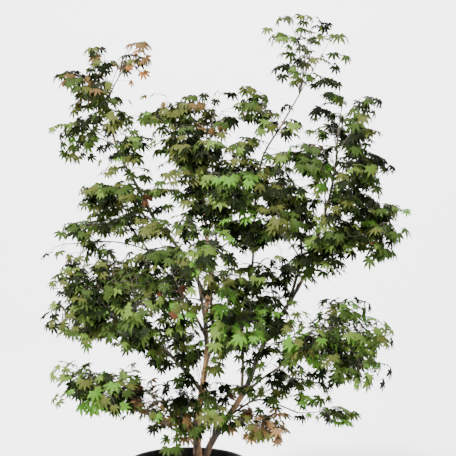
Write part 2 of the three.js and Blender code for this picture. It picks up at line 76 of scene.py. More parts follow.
# The bark's relief, as shares of a limb's radius: its even part, slow unevenness, furrows, and rings of buds
RELIEF = {"even": 0.97, "slow": 0.014, "furrow": 0.012, "ring": 0.12, "ring_spacing": 55, "ring_width": 3.2}

# Stems and boughs, as in the source: name, limb that it starts on, share of its length, radii and points
LIMBS = [
    ("leader", None, 0, 15, 4.2, [(38, 0, SOIL_LEVEL), (31, 0, 375), (27, 8, 455), (45, 0, 565),
     (60, -10, 690), (56, 0, 765), (70, 10, 930), (56, 0, 1080), (48, -5, 1215)]),
    ("right_stem", None, 0, 11.5, 5, [(50, 0, SOIL_LEVEL), (60, 0, 370), (84, 0, 422), (155, -10, 532),
     (180, -5, 575), (215, 0, 665), (250, 0, 740), (315, 0, 840), (370, 0, 940)]),
    ("upright", "right_stem", 0.385, 4.8, 2.4, [(170, 30, 660), (166, 45, 760), (200, 45, 955),
     (202, 35, 1060), (228, 20, 1270), (286, 0, 1372), (338, -10, 1462)]),
    ("right", "right_stem", 0.375, 5, 2.8, [(215, -40, 598), (270, -80, 645), (345, -110, 705)]),
    ("low_right", "right_stem", 0.28, 3.6, 2.4, [(205, 50, 522), (245, 80, 515), (345, 125, 468)]),
    ("left", "leader", 0.285, 6.8, 4.3, [(-5, -40, 632), (-75, -100, 712), (-135, -130, 748)]),
    ("low_left", "leader", 0.13, 4.4, 2.6, [(-28, -70, 455), (-90, -125, 508), (-185, -145, 548)]),
    ("upper_left", "leader", 0.585, 7, 3.4, [(5, 55, 945), (-55, 85, 1025), (-105, 95, 1085),
     (-160, 80, 1190), (-212, 62, 1288), (-240, 52, 1395), (-245, 45, 1440)]),
    ("mid_left", "leader", 0.47, 5, 2.8, [(-20, 110, 850), (-95, 150, 940), (-165, 135, 1030)]),
    ("inner", "right_stem", 0.83, 5, 3, [(350, 35, 985), (334, 55, 1075), (320, 65, 1140)]),
    ("right_up", "right_stem", 0.97, 4.8, 2.8, [(398, -30, 1050), (428, -50, 1160), (446, -45, 1260),
     (452, -35, 1335)]),
    ("right_out", "right_stem", 0.95, 4.2, 2.8, [(415, 25, 975), (470, 45, 1000), (515, 50, 1025)]),
    ("high", "leader", 0.9, 3.8, 2.6, [(10, 45, 1180), (-22, 50, 1260), (-38, 40, 1330)]),
    ("front", "leader", 0.5, 5.5, 3, [(48, -60, 830), (38, -150, 925), (55, -215, 1000)]),
    ("back", "leader", 0.36, 6, 3, [(75, 65, 720), (70, 160, 850), (85, 215, 1000), (80, 225, 1110)]),
]
# The power by which the leader thins
TAPER = {"leader": 1.8}
# The collar at each limb's foot, as a share of the radius and by how soon it fades, and the room of its rings
COLLAR = {"bough": 0.4, "stem": 0.2, "length": 16}
LIMB_RINGS = {"spacing": 5.5, "least": 12}
# What is left of a limb that was pruned off the right stem
PRUNED = {"foot": (79, -1, 412), "top": (86, -6, 466), "base": 7.5, "tip": 6.2}

# Masses of foliage, as in the source: name, limb, share, centre, reach, pairs of leaves, and the tint here
FOLIAGE = [
    ("top_shoot", "upright", 1, (352, -20, 1605), (120, 105, 118), 6, "green"),
    ("right_top", "right_up", 1, (468, -40, 1450), (125, 100, 68), 5, "green"),
    ("right_brow", "right_up", 0.88, (440, 95, 1378), (105, 95, 60), 3, "dark"),
    ("right_dark", "right_up", 0.72, (548, 15, 1285), (105, 115, 100), 4, "dark"),
    ("right_high", "right_out", 1, (575, 100, 1145), (100, 105, 95), 5, "dark"),
    ("right_shelf", "right_out", 0.7, (560, -70, 1040), (115, 110, 70), 4, "green"),
    ("right_inner", "right_up", 0.45, (392, -115, 1245), (105, 100, 80), 4, "green"),
    ("inner_right", "inner", 1, (235, 130, 1205), (125, 115, 85), 4, "dark"),
    ("high_right", "upright", 0.86, (200, 30, 1432), (110, 100, 70), 4, "green"),
    ("high", "leader", 0.93, (85, -15, 1410), (110, 105, 70), 4, "bronze"),
    ("high_left", "high", 1, (-50, 30, 1402), (110, 100, 70), 4, "bronze"),
    ("heart", "leader", 1, (20, -60, 1300), (115, 105, 72), 4, "dark"),
    ("heart_left", "leader", 0.88, (-45, -115, 1180), (115, 105, 85), 4, "green"),
    ("heart_right", "leader", 0.8, (135, -145, 1175), (110, 105, 85), 4, "green"),
    ("centre_right", "inner", 0.4, (245, -100, 1065), (115, 110, 85), 4, "green"),
    ("front", "front", 1, (60, -300, 1040), (130, 115, 85), 6, "green"),
    ("centre_left", "upper_left", 0.27, (-85, -40, 1000), (115, 105, 75), 4, "dark"),
    ("left_high", "upper_left", 0.96, (-302, 45, 1478), (115, 110, 70), 5, "bronze"),
    ("left_spray", "upper_left", 1, (-165, 20, 1572), (95, 85, 72), 4, "amber"),
    ("left_brow", "upper_left", 0.8, (-335, 125, 1345), (100, 95, 80), 3, "green"),
    ("left_shoulder", "upper_left", 0.74, (-175, 0, 1335), (95, 90, 90), 4, "green"),
    ("left_shelf", "mid_left", 1, (-245, 160, 1125), (125, 115, 78), 4, "green"),
    ("left_outer", "mid_left", 0.85, (-350, 40, 1010), (115, 110, 75), 4, "green"),
    ("left_far", "left", 1, (-290, -95, 860), (145, 125, 112), 6, "green"),
    ("left_back", "mid_left", 0.5, (-230, 235, 880), (130, 120, 95), 4, "dark"),
    ("left_near", "left", 0.9, (-135, -215, 860), (105, 100, 90), 4, "green"),
    ("left_inner", "front", 0.35, (-35, -165, 860), (95, 100, 105), 4, "green"),
    ("low_left", "low_left", 1, (-275, -160, 595), (150, 120, 66), 6, "bright"),
    ("foot_left", "low_left", 0.55, (-110, -95, 548), (90, 85, 45), 2, "bronze"),
    ("foot", "leader", 0.19, (-5, -75, 500), (90, 85, 70), 3, "bronze"),
    ("foot_right", "right_stem", 0.22, (85, -75, 545), (80, 80, 60), 2, "bright"),
    ("low_front", "front", 0.25, (150, -210, 805), (120, 110, 82), 4, "bright"),
    ("right_near", "right", 0.78, (372, -205, 742), (105, 100, 72), 4, "bright"),
    ("right_far", "right", 1, (525, -90, 780), (120, 110, 75), 5, "bright"),
    ("right_low", "right", 0.88, (500, -165, 672), (120, 105, 60), 4, "bright"),
    ("low_right", "right_stem", 0.17, (225, -80, 478), (120, 90, 52), 4, "russet"),
    ("droop_right", "low_right", 1, (450, 175, 468), (125, 100, 60), 4, "bright"),
    ("back_low", "back", 0.55, (-15, 290, 900), (130, 115, 95), 4, "green"),
    ("back_right", "back", 0.75, (295, 270, 1035), (130, 120, 95), 4, "green"),
    ("back_high", "back", 1, (75, 250, 1240), (130, 115, 95), 4, "green"),
    ("centre_far", "inner", 0.7, (345, -15, 1122), (105, 100, 75), 4, "dark"),
    ("fork", "right_stem", 0.93, (400, -80, 990), (90, 90, 60), 3, "dark"),
]

# The source's rule for a mass's twigs, with thinner stems
GOLDEN_TURN = math.radians(137.5)
SPRAY = {"across": 80, "up": 26, "least": 18}
CLIMB = {"from": -0.9, "rise": 1.8}
STANDING = {"least": 0.85, "spread": 0.15, "narrowing": 0.5}
STEM = {"lead": 0.3, "bend": 0.3, "fewest": 4, "thinnest": 0.8, "base": 2.8, "tip": 1.2}
TWIG = {"bud": 2.5, "first": 0.42, "backward": 0.35}
FACING = {"outward": 0.45, "sideward": 0.5, "unevenness": 0.25, "back": 110}

# The finer twigs and the leaves, life size: nodes along a twig, and shoots from them with pairs of leaves
NODES = {"first": 0.22, "spacing": 14, "margin": 6, "uneven": 0.3}
SHOOT = {"spread": 56, "sway": 22, "single": 0.35, "step": 26, "least": 0.75, "more": 0.5, "sag": 0.1,
         "uneven": 12, "dip": 0.4, "mixed": 0.2, "space": 1.25}
# At a spray's tip: how far its shoots lean outward, how far each of two draws turns them, and how much more
# often they grow there
TIP = {"outward": 0.8, "turn": 30, "sway": 16, "fuller": 0.2}
# How far a layer of leaves is tilted at most, in degrees
TILT = {"spray": 14, "limb_shoot": 16, "sprig": 12}
FAN = (-SHOOT["spread"], 0, SHOOT["spread"])
RADII = {"spray": (1.4, 1.0), "limb_shoot": (1.5, 1.0), "sprig": (1.7, 0.9), "shoot": (1.0, 0.6)}
STALK = {"length": 15, "radius": 0.5, "least": 0.7, "more": 0.6, "sag": 0.1, "bow": 0.14}
# The blade's length and its spread, where its middle, heart and end lie along it, how far it may stand out of
# its mass's space, and how far it keeps from other leaves. The droop's power makes strong droops rarer.
BLADE = {"length": 33, "least": 0.72, "most": 1.18, "middle": 0.4, "heart": 0.5, "end": 0.8, "space": 1.32,
         "apart": 0.42, "droop_power": 1.35}
# How far a leaf turns from its shoot at the end or the side, in degrees, how much more, and how far it rolls
LEAF_TURN = {"end": 34, "side": 58, "more": 26, "roll": 34}
# How far each part keeps from the limbs
CLEARANCE = {"twig": 12, "shoot": 3, "palm": 5, "blade": 3}
# The list of the leaves' middles, which are far off until they are placed
MOST_LEAVES = 12000
FAR = 1e6
# By height: how far the layers of leaves lean to the front, against the source, how far every leaf droops in
# degrees, and how much more at most
LEAN = [(700, 1.0), (1100, 0.5)]
DROOP = [(900, 6), (1450, 26)]
DROOP_SPREAD = [(900, 54), (1100, 42)]
# The lobes of a leaf, by direction in degrees and length, how far out the notches between them lie, and the
# half widths from the notch on
LOBES = [(0, 1.0), (37, 0.94), (75, 0.76), (120, 0.44)]
NOTCH = 0.33
BASE_NOTCH = {"angle": 26, "out": 0.13, "rise": 0.02}
LOBE_WIDTHS = [1.0, 1.26, 1.08, 0.5]
BASAL_WIDTHS = [1.0, 0.9]
LEAF_FORMS = 10
SIDES = ("left", "right")

# Leaf size and share of the shoots that are there, where a mass differs from the rest
LEAF_SCALE = {"top_shoot": 0.85, "right_top": 0.85, "left_spray": 0.85, "left_high": 0.88, "high": 0.9,
              "high_left": 0.88, "high_right": 0.88}
FULLNESS = {"top_shoot": 0.55, "left_spray": 0.6, "right_top": 0.6, "right_brow": 0.8, "high_right": 0.75,
            "low_right": 0.7, "droop_right": 0.7}
# Leafy shoots and thin twigs straight from the limbs: the span of the limb that bears them, their share of
# the nodes, how far they lead before their leaves start, and their tint
LIMB_SHOOTS = {
    "upper_left": (0.40, 1.0, 1.0, 20, "dark"), "upright": (0.16, 0.95, 0.5, 24, "dark"),
    "right_stem": (0.36, 1.0, 0.42, 40, "dark"), "right_up": (0.1, 1.0, 0.65, 22, "dark"),
    "right_out": (0.25, 1.0, 0.7, 15, "green"), "inner": (0.2, 1.0, 0.7, 24, "dark"),
    "right": (0.25, 1.0, 0.75, 26, "bronze"), "low_right": (0.4, 1.0, 0.5, 12, "green"),
    "leader": (0.2, 1.0, 0.42, 48, "dark"), "left": (0.3, 1.0, 0.5, 30, "green"),
    "low_left": (0.35, 1.0, 0.9, 18, "bright"), "mid_left": (0.4, 1.0, 0.6, 22, "dark"),
    "high": (0.4, 1.0, 0.6, 18, "green"), "front": (0.4, 1.0, 0.6, 20, "green"),
    "back": (0.4, 1.0, 0.65, 26, "green"),
}
# Their room, leaf size and share of shoots, the least reach of a twig, its rise and its bow, and how far they
# lean along the limb
LIMB_SHOOT = {"spacing": 30, "scale": 0.92, "fullness": 0.8, "least": 25, "rise": 0.1, "bow": 0.08,
              "ahead": 0.45}
# Masses whose shoots sit closer than the rest's
DENSITY = {"right_high": 1.2, "right_dark": 1.2, "right_shelf": 1.2, "left_far": 1.8, "left_high": 1.4,
           "left_shoulder": 1.4, "left_back": 1.4, "low_left": 1.8, "foot": 1.2, "front": 1.6,
           "low_front": 1.8, "right_far": 1.3, "right_low": 1.3, "right_near": 1.3}
# Every sprig's leaf size, room for a node, length up to its tip that bears leaves, least bare share, share of
# shoots, and how far its twig follows the limb and then bends to its tip
SPRIG = {"scale": 0.95, "spacing": 12, "leafy": 90, "bare": 0.3, "fullness": 0.95, "lead": 0.3, "bend": 0.35}
# Single sprigs that stand out in the photograph: the limb and the share of its length that bear each, its tip
# as the photograph's pixel across and down and the depth in the plant, its tint, and the share of its shoots
# where that is less than the rest's
SPRIGS = {
    "left_tip_dark": ("upper_left", 1, 104, 50, 10, "dry", 0.5),
    "left_tip_middle": ("upper_left", 1, 108, 62, 0, "dry", 0.5),
    "left_tip_low": ("upper_left", 0.97, 108, 80, -15, "bronze", 0.5),
    "left_tip_amber": ("upper_left", 1, 134, 44, 25, "amber", 0.5),
    "left_edge_bronze": ("upper_left", 0.95, 74, 72, 60, "bronze"),
    "left_bough_right": ("upper_left", 0.86, 122, 118, -20, "dark", 0.6),
    "left_bough_left": ("upper_left", 0.88, 116, 110, -40, "dark", 0.5),
    "left_brow_edge": ("upper_left", 0.8, 73, 125, 40, "dark", 0.6),
    "left_twig_far": ("upper_left", 0.55, 90, 104, 60, "dark", 0.35),
    "left_twig_near": ("upper_left", 0.6, 101, 92, -10, "dark", 0.35),
    "left_shelf_edge": ("mid_left", 1, 92, 187, 100, "dark"),
    "left_shelf_tip": ("mid_left", 0.9, 104, 184, 60, "green"),
    "left_shelf_middle": ("upper_left", 0.38, 142, 214, 10, "dark"),
    "left_shelf_high": ("upper_left", 0.52, 120, 188, 30, "green"),
    "left_shelf_low": ("upper_left", 0.32, 148, 226, -10, "dark"),
    "left_shelf_inner": ("mid_left", 0.8, 126, 218, 60, "dark"),
    "left_outer_high": ("mid_left", 1, 80, 226, 30, "green"),
    "left_far_dark": ("left", 1, 90, 282, -60, "dark"),
    "left_far_edge": ("left", 1, 73, 276, -110, "green"),
    "left_far_low": ("left", 0.9, 95, 306, -130, "bright"),
    "left_far_middle": ("left", 0.8, 138, 300, -150, "bright"),
    "left_far_top": ("left", 0.7, 136, 270, -60, "dark"),
    "left_front_low": ("left", 1, 112, 338, -150, "bright"),
    "left_front_middle": ("left", 0.6, 148, 344, -170, "green"),
    "leader_left": ("leader", 0.3, 190, 334, -60, "dark"),
    "leader_low_left": ("leader", 0.28, 188, 346, -70, "green"),
    "leader_low": ("leader", 0.22, 194, 358, -60, "bright", 0.3),
    "front_low_left": ("leader", 0.3, 213, 336, -120, "bright", 0.5),
    "leader_foot_left": ("leader", 0.15, 186, 391, -50, "dark"),
    "leader_foot_right": ("leader", 0.17, 213, 382, -45, "dark", 0.6),
    "foot_twig_left": ("leader", 0.14, 184, 352, 20, "dark", 0.15),
    "foot_twig_middle": ("leader", 0.12, 222, 354, -30, "dark", 0.15),
    "foot_twig_right": ("right_stem", 0.1, 216, 364, 40, "dark", 0.15),
    "low_left_dry": ("low_left", 0.62, 142, 397, -140, "dry"),
    "low_left_inner": ("low_left", 0.75, 126, 387, -150, "green"),
    "low_left_middle": ("low_left", 0.9, 103, 384, -120, "bright"),
    "low_left_top": ("low_left", 1, 77, 369, -120, "bright"),
    "low_left_near": ("low_left", 0.5, 152, 394, -120, "dry", 0.6),
    "right_foot_dry": ("right_stem", 0.12, 240, 412, -50, "dry"),
    "right_foot_dark": ("right_stem", 0.15, 224, 401, -30, "dark", 0.7),
    "right_foot_far": ("low_right", 0.35, 259, 403, 10, "dark", 0.4),
    "right_low_twig": ("right_stem", 0.26, 284, 371, -30, "dark", 0.45),
    "right_low_tip": ("low_right", 0.6, 326, 375, 30, "dark", 0.45),
    "right_long_twig": ("right_stem", 0.27, 336, 368, -60, "dark", 0.12),
    "right_low_middle": ("low_right", 0.5, 304, 371, 0, "dark", 0.4),
    "front_low": ("leader", 0.3, 228, 333, -140, "bright"),
    "front_low_right": ("right_stem", 0.36, 256, 346, -110, "green"),
    "right_near_low": ("right_stem", 0.33, 284, 346, -60, "dark", 0.75),
    "right_shelf_low": ("right", 0.9, 330, 326, -170, "bright"),
    "right_shelf_high": ("right", 1, 332, 306, -110, "bright"),
    "right_shelf_far": ("right", 1, 347, 352, -40, "bright"),
    "right_shelf_inner": ("right", 0.7, 318, 344, -140, "bright"),
    "stems_front": ("right_stem", 0.42, 250, 306, -120, "bright"),
    "stems_front_right": ("right_stem", 0.5, 279, 308, -90, "bright"),
    "stems_front_far": ("right_stem", 0.55, 271, 301, -60, "green"),
    "stems_high_left": ("right_stem", 0.6, 263, 268, -70, "dark"),
    "stems_high": ("right_stem", 0.62, 274, 270, -30, "dark"),
    "upright_right_low": ("upright", 0.27, 259, 297, 10, "dark"),
    "upright_left_low": ("upright", 0.3, 229, 286, -20, "dark"),
    "upright_left_high": ("upright", 0.42, 236, 266, 20, "dark"),
    "upright_left_far": ("upright", 0.35, 222, 276, -60, "green"),
    "upright_left_middle": ("upright", 0.5, 237, 248, -10, "dark"),
    "upright_left_heart": ("upright", 0.55, 233, 229, -40, "dark"),
    "upright_bend": ("upright", 0.72, 268, 166, -20, "dark"),
    "upright_bend_left": ("upright", 0.68, 248, 167, -30, "dark"),
    "upright_bend_right": ("upright", 0.76, 293, 155, -20, "green"),
    "upright_left_top": ("upright", 0.84, 262, 101, 20, "green"),
    "upright_middle_top": ("upright", 0.86, 275, 111, -10, "dark", 0.6),
    "upright_right_top": ("upright", 0.8, 286, 121, -30, "dark", 0.5),
    "top_left": ("upright", 1, 286, 17, 10, "green", 0.1),
    "top_left_low": ("upright", 1, 281, 63, -10, "green", 0.1),
    "top_low": ("upright", 1, 301, 60, -10, "green", 0.35),
    "top_high": ("upright", 1, 311, 37, -20, "dark", 0.3),
    "right_brow_tip": ("right_up", 1, 362, 97, -60, "green"),
    "right_brow_low": ("right_up", 0.86, 355, 131, -60, "dark"),
    "right_middle_high": ("right_up", 0.55, 346, 166, -90, "green"),
    "right_middle": ("right_up", 0.3, 336, 196, -90, "dark"),
    "right_middle_low": ("right_stem", 0.97, 326, 232, -90, "green"),
    "right_middle_far": ("right_out", 0.6, 347, 228, 20, "dark"),
    "right_fork_top": ("right_stem", 0.99, 337, 222, -70, "dark"),
    "right_fork_far": ("right_up", 0.2, 354, 221, -40, "green"),
    "right_up_low": ("right_up", 0.45, 337, 184, -60, "dark"),
    "right_up_left": ("right_up", 0.7, 322, 160, -60, "green"),
    "right_up_far": ("right_up", 0.75, 308, 148, -40, "green"),
    "right_out_high": ("right_out", 0.8, 367, 206, -10, "dark"),
    "right_edge": ("right_out", 1, 384, 206, 20, "green"),
    "inner_top": ("inner", 1, 300, 198, 20, "green"),
    "inner_left": ("inner", 0.8, 286, 195, -20, "dark"),
    "high_left_edge": ("high", 1, 166, 96, 0, "bronze", 0.6),
    "high_left_top": ("high", 1, 184, 97, 10, "bronze", 0.6),
    "high_top": ("leader", 0.97, 220, 94, 10, "bronze", 0.6),
    "heart_left_edge": ("high", 0.8, 180, 126, -40, "dark"),
    "heart_left_top": ("high", 0.7, 174, 140, -30, "green"),
    "heart_left_low": ("leader", 0.97, 192, 135, -60, "dark"),
    "heart_top": ("leader", 0.97, 210, 141, -70, "dark"),
    "heart_right_top": ("leader", 0.93, 241, 140, -50, "dark"),
    "heart_middle": ("leader", 0.88, 214, 172, -130, "green"),
    "heart_low": ("leader", 0.82, 205, 202, -110, "dark"),
    "heart_low_left": ("leader", 0.85, 184, 187, -100, "green", 0.5),
    "low_left_high": ("low_left", 0.85, 121, 376, -170, "bright"),
    "low_left_bright": ("low_left", 0.95, 90, 376, -165, "bright"),
    "inner_high": ("inner", 0.9, 285, 183, -40, "dark"),
    "high_middle_top": ("high", 1, 202, 93, 0, "bronze", 0.6),
    "high_left_far": ("high", 0.9, 151, 115, 10, "green", 0.5),
    "top_left_side": ("upright", 1, 277, 30, -5, "dark", 0.3),
    "top_right_side": ("upright", 1, 331, 38, 5, "green", 0.1),
    "left_far_near": ("left", 0.95, 90, 268, -120, "green"),
    "left_far_high": ("left", 0.85, 112, 262, -80, "dark"),
    "left_far_inner": ("left", 0.55, 166, 264, -110, "dark"),
    "left_far_under": ("left", 0.6, 141, 308, -165, "dark"),
    "left_far_front": ("left", 1, 90, 286, -160, "green"),
    "left_far_bottom": ("left", 1, 74, 320, -150, "green"),
    "left_far_foot": ("left", 0.9, 112, 314, -160, "green"),
    "left_bough_under": ("left", 0.5, 160, 336, -120, "green"),
    "foot_left_dry": ("low_left", 0.4, 150, 388, -60, "dry"),
    "foot_left_dark": ("leader", 0.16, 184, 388, -30, "dark", 0.4),
    "foot_right_dark": ("right_stem", 0.14, 218, 402, -40, "dark", 0.5),
    "right_foot_leaf": ("low_right", 0.3, 284, 379, 20, "dark"),
    "stems_high_right": ("right_stem", 0.8, 296, 262, -40, "dark", 0.3),
    "right_fork_low": ("right_stem", 0.85, 305, 252, -60, "dark", 0.5),
    "right_shelf_front": ("right", 0.8, 313, 328, -160, "bright"),
}
# The share of a mass's leaves that stays, by height
STAY = [(900, 0.71), (1100, 0.77)]
# Where the photograph shows more sky or bare wood through the crown: the pixel across and down, the half
# width and half height round it, and the share of the leaves that stays there
SKY = {
    "leader": (208, 300, 6, 46, 0.08), "beside_the_leader": (220, 282, 7, 22, 0.2),
    "between_the_stems": (258, 366, 12, 20, 0.25), "near_the_fork": (271, 357, 11, 8, 0.1),
    "front_low": (238, 357, 12, 8, 0.3), "left_of_the_stem": (225, 376, 11, 24, 0.25),
    "above_the_fork": (290, 314, 14, 16, 0.05), "under_the_heart": (284, 249, 26, 16, 0.03),
    "left_of_the_fork": (195, 290, 9, 14, 0.2), "upper_left_gap": (154, 152, 16, 16, 0.4),
    "upper_left_edge": (157, 135, 20, 12, 0.1), "upper_left_peak": (155, 103, 11, 8, 0.15),
    "upper_left_stems": (99, 124, 9, 22, 0.45), "upper_left_stem_foot": (113, 146, 9, 12, 0.5),
    "left_spray_low": (136, 71, 18, 11, 0.25), "left_tip_edge": (85, 62, 9, 8, 0.1),
    "left_bough_gap": (117, 91, 10, 9, 0.12), "left_brow_low": (94, 130, 13, 8, 0.15),
    "left_brow": (76, 149, 24, 13, 0.25), "left_high": (81, 112, 13, 14, 0.2),
    "left_high_top": (78, 97, 11, 7, 0.2), "left_spray_right": (152, 52, 8, 20, 0.15),
    "upper_left_notch": (136, 121, 12, 17, 0.1), "upper_left_side": (166, 127, 9, 8, 0.25),
    "high_band": (216, 103, 30, 8, 0.15), "along_the_left_bough": (176, 356, 13, 8, 0.12),
    "left_bough_foot": (192, 370, 10, 9, 0.05), "leader_foot": (201, 400, 7, 26, 0.05),
    "leader_low": (207, 352, 7, 22, 0.05), "right_stem_bare": (301, 291, 12, 17, 0.03),
    "right_stem_foot": (231, 408, 9, 14, 0.25), "stub": (214, 428, 7, 10, 0.1),
    "left_tip_under": (120, 80, 12, 12, 0.15), "high": (225, 114, 18, 12, 0.12),
    "high_right": (259, 113, 12, 8, 0.2), "high_low": (231, 156, 11, 10, 0.1),
    "top_right": (326, 62, 9, 12, 0.4), "top_gap": (291, 48, 9, 12, 0.1),
    "top_high_right": (324, 19, 15, 6, 0.1), "top_far_left": (263, 34, 9, 7, 0.1),
    "top_far_left_low": (266, 67, 9, 6, 0.15), "top_low": (309, 79, 12, 9, 0.25),
    "right_top": (354, 115, 16, 8, 0.2), "beside_upright": (316, 127, 14, 14, 0.2),
    "upright_gap": (276, 142, 15, 17, 0.15), "left_gap": (112, 168, 13, 8, 0.15),
    "heart_left_top": (156, 174, 20, 9, 0.3), "heart_left": (174, 203, 22, 18, 0.12),
    "left_shelf_edge": (77, 189, 12, 10, 0.3), "centre_left": (188, 248, 13, 14, 0.05),
    "centre_low": (222, 246, 12, 16, 0.05), "centre_low_right": (239, 260, 10, 7, 0.2),
    "stem_gap": (266, 293, 7, 8, 0.2), "centre_right": (264, 217, 9, 12, 0.4),
    "left_edge": (65, 252, 24, 15, 0.06), "left_shelf": (105, 240, 15, 16, 0.25),
    "left_of_centre": (161, 242, 12, 8, 0.3), "left_inner": (138, 252, 14, 9, 0.3),
    "left_middle": (154, 318, 9, 13, 0.15), "right_inner": (314, 192, 12, 24, 0.3),
    "right_low": (350, 384, 30, 7, 0.2), "right_low_edge": (370, 374, 12, 12, 0.25),
    "right_near": (306, 364, 22, 8, 0.15), "right_low_gap": (315, 395, 18, 8, 0.08),
    "right_droop": (312, 419, 14, 7, 0.3), "low_right": (280, 415, 14, 10, 0.35),
    "pot_right": (238, 438, 17, 9, 0.05), "low_left": (74, 408, 24, 12, 0.08),
    "low_left_under": (128, 421, 36, 13, 0.08), "foot_left": (140, 432, 12, 12, 0.4),
    "foot": (200, 418, 8, 20, 0.15), "above_low_left": (140, 355, 32, 8, 0.2),
    "under_left": (112, 350, 34, 8, 0.2), "above_foot": (178, 373, 17, 8, 0.15),
    "beside_foot": (166, 396, 11, 16, 0.12), "low_left_corner": (62, 388, 14, 9, 0.1),
    "low_left_top": (103, 367, 16, 6, 0.15), "right_dark_edge": (376, 148, 13, 15, 0.15),
    "heart_right": (243, 214, 9, 9, 0.2), "right_inner_gap": (312, 181, 16, 8, 0.2),
    "right_fork_gap": (332, 210, 10, 8, 0.25), "right_out_low": (321, 268, 9, 16, 0.2),
    "left_outer_low": (130, 232, 17, 11, 0.2), "front_right": (250, 327, 9, 9, 0.15),
    "right_foot": (288, 404, 17, 9, 0.15), "right_shelf": (328, 369, 9, 10, 0.2),
    "right_out_under": (362, 250, 28, 8, 0.25),
}

# Bark colours in its furrows, its middle tone and its ridges, and the places of the three in its grain
BARK_PLACES = (0.4, 0.5, 0.62)
BARK_COLOURS = {
    # The stems' middle tone and ridges are their tan bark, lightened further as painted sunlight
    "stems": ((0.030, 0.018, 0.010), (0.220, 0.120, 0.052), (0.520, 0.300, 0.135)),
    # The right stem's bark is the stems' tan bark darkened as painted shade
    "right_stem": ((0.012, 0.009, 0.006), (0.038, 0.025, 0.015), (0.200, 0.118, 0.060)),
    "boughs": ((0.010, 0.008, 0.006), (0.030, 0.021, 0.013), (0.100, 0.070, 0.038)),
}

# Leaf colours, as linear base colours, and the share of each that a tint's sprays take
# The near-black colour is painted shade for leaves inside the crown, and the two lightest greens are painted
# sunlight
LEAF_COLOURS = {
    "shaded": (0.004, 0.007, 0.002),
    "green": (0.021, 0.037, 0.008),
    "sunlit": (0.060, 0.098, 0.020),
    "vivid_sunlit": (0.050, 0.120, 0.016),
    "olive": (0.046, 0.054, 0.014),
    "bronze": (0.068, 0.043, 0.018),
    "amber": (0.150, 0.060, 0.018),
    "rust": (0.052, 0.022, 0.011),
    "russet": (0.140, 0.080, 0.040),
}
# The dark tint deals out mostly painted shade and the bright tint more painted sunlight, for shoots that
# stand in shade or in the sun
TINTS = {
    "green": {"shaded": 0.30, "green": 0.37, "sunlit": 0.12, "vivid_sunlit": 0.06, "olive": 0.15},
    "dark": {"shaded": 0.46, "green": 0.30, "sunlit": 0.08, "olive": 0.16},
    "bright": {"shaded": 0.18, "green": 0.30, "sunlit": 0.20, "vivid_sunlit": 0.18, "olive": 0.14},
    "bronze": {"shaded": 0.24, "green": 0.24, "olive": 0.34, "bronze": 0.18},
    "amber": {"shaded": 0.3, "amber": 0.28, "bronze": 0.2, "olive": 0.22},
    "russet": {"russet": 0.38, "bronze": 0.26, "olive": 0.24, "shaded": 0.12},
    "dry": {"rust": 0.14, "bronze": 0.36, "olive": 0.28, "shaded": 0.22},
}
# The share of single leaves that turned early
TURNED_EARLY = 0.004
# A leaf's sheen, the gain of each channel of the light that it lets through, and the share of that light
SATIN = {"specular": 0.1, "ior": 1.3, "glow": (1.7, 1.9, 1.0), "through": 0.22}

# The grain of each finish as the scale, detail and stretch of its noise, the span of its roughness, the noise
# of its relief where that has its own, and the strength and depth of the relief
GRAINS = {
    "bark": ((34, 10, (1, 1, 0.3)), (0.62, 0.9), (260, 8, (1, 1, 0.3)), (0.6, 0.0012)),
    "twig": ((14, 4), (0.45, 0.65), (500, 3), (0.2, 0.0005)),
    "pot": ((9, 8, (1, 1, 0.35)), (0.38, 0.62), (700, 2), (0.15, 0.0004)),
    "soil": ((120, 10), (0.8, 0.98), (380, 8), (1.0, 0.003)),
    "chips": ((200, 6, (1, 0.3, 1)), (0.75, 0.95), None, (0.5, 0.001)),
    "leaf": ((900, 3), (0.45, 0.65), None, (0.12, 0.0006)),
}
# Tones, each with its place in the grain
TWIG_TONES = [(0.35, (0.012, 0.008, 0.005)), (0.55, (0.024, 0.018, 0.010)), (0.7, (0.040, 0.034, 0.014))]
POT_TONES = [(0.42, (0.006, 0.006, 0.007)), (0.62, (0.012, 0.012, 0.013)), (0.8, (0.035, 0.032, 0.028))]
SOIL_TONES = [(0.35, (0.012, 0.008, 0.006)), (0.55, (0.045, 0.028, 0.018)), (0.72, (0.11, 0.07, 0.045))]
CHIP_COLOURS = {"chips_dark": (0.05, 0.03, 0.02), "chips_brown": (0.13, 0.075, 0.045),
                "chips_pale": (0.26, 0.19, 0.13)}
POT_SPECULAR = 0.12

# The studio, in metres: a lamp's place, target, size, power and colour
STAGE = {"flat": 4.6, "bend": 3.0, "top": 9.0, "sides": 96, "colour": (0.8, 0.81, 0.83), "roughness": 0.9}
SURROUND = {"colour": (0.96, 0.97, 1.0), "strength": 0.27}
LIGHTS = {"key": ((-2.1, -2.7, 4.6), (0.05, 0, 1.0), 0.5, 1600, (1.0, 0.96, 0.88)),
          "wall": ((0.0, 2.6, 6.0), (0.0, 7.2, 1.6), 3.0, 1250, (1.0, 1.0, 1.0))}


# Numbers and directions

def random_from(kind, index=0):
    """The same numbers as the source's, from 0 to 1, for one member of a kind."""
    first, step = SEEDS[kind]
    state = [first + step * index]
    word = 0xFFFFFFFF

    def draw():
        state[0] = (state[0] + 0x6D2B79F5) & word
        s = state[0]
        mixed = ((s ^ (s >> 15)) * (s | 1)) & word
        mixed ^= (mixed + (((mixed ^ (mixed >> 7)) * (mixed | 61)) & word)) & word
        return (mixed ^ (mixed >> 14)) / 2**32

    return draw


def unit(v):
    return v / max(np.linalg.norm(v), 1e-9)


def in_layer(v, facing, share=1):
    """The direction of v, laid into the layer that faces so, or a share of the way there."""
    return unit(v - share * facing * (v @ facing))


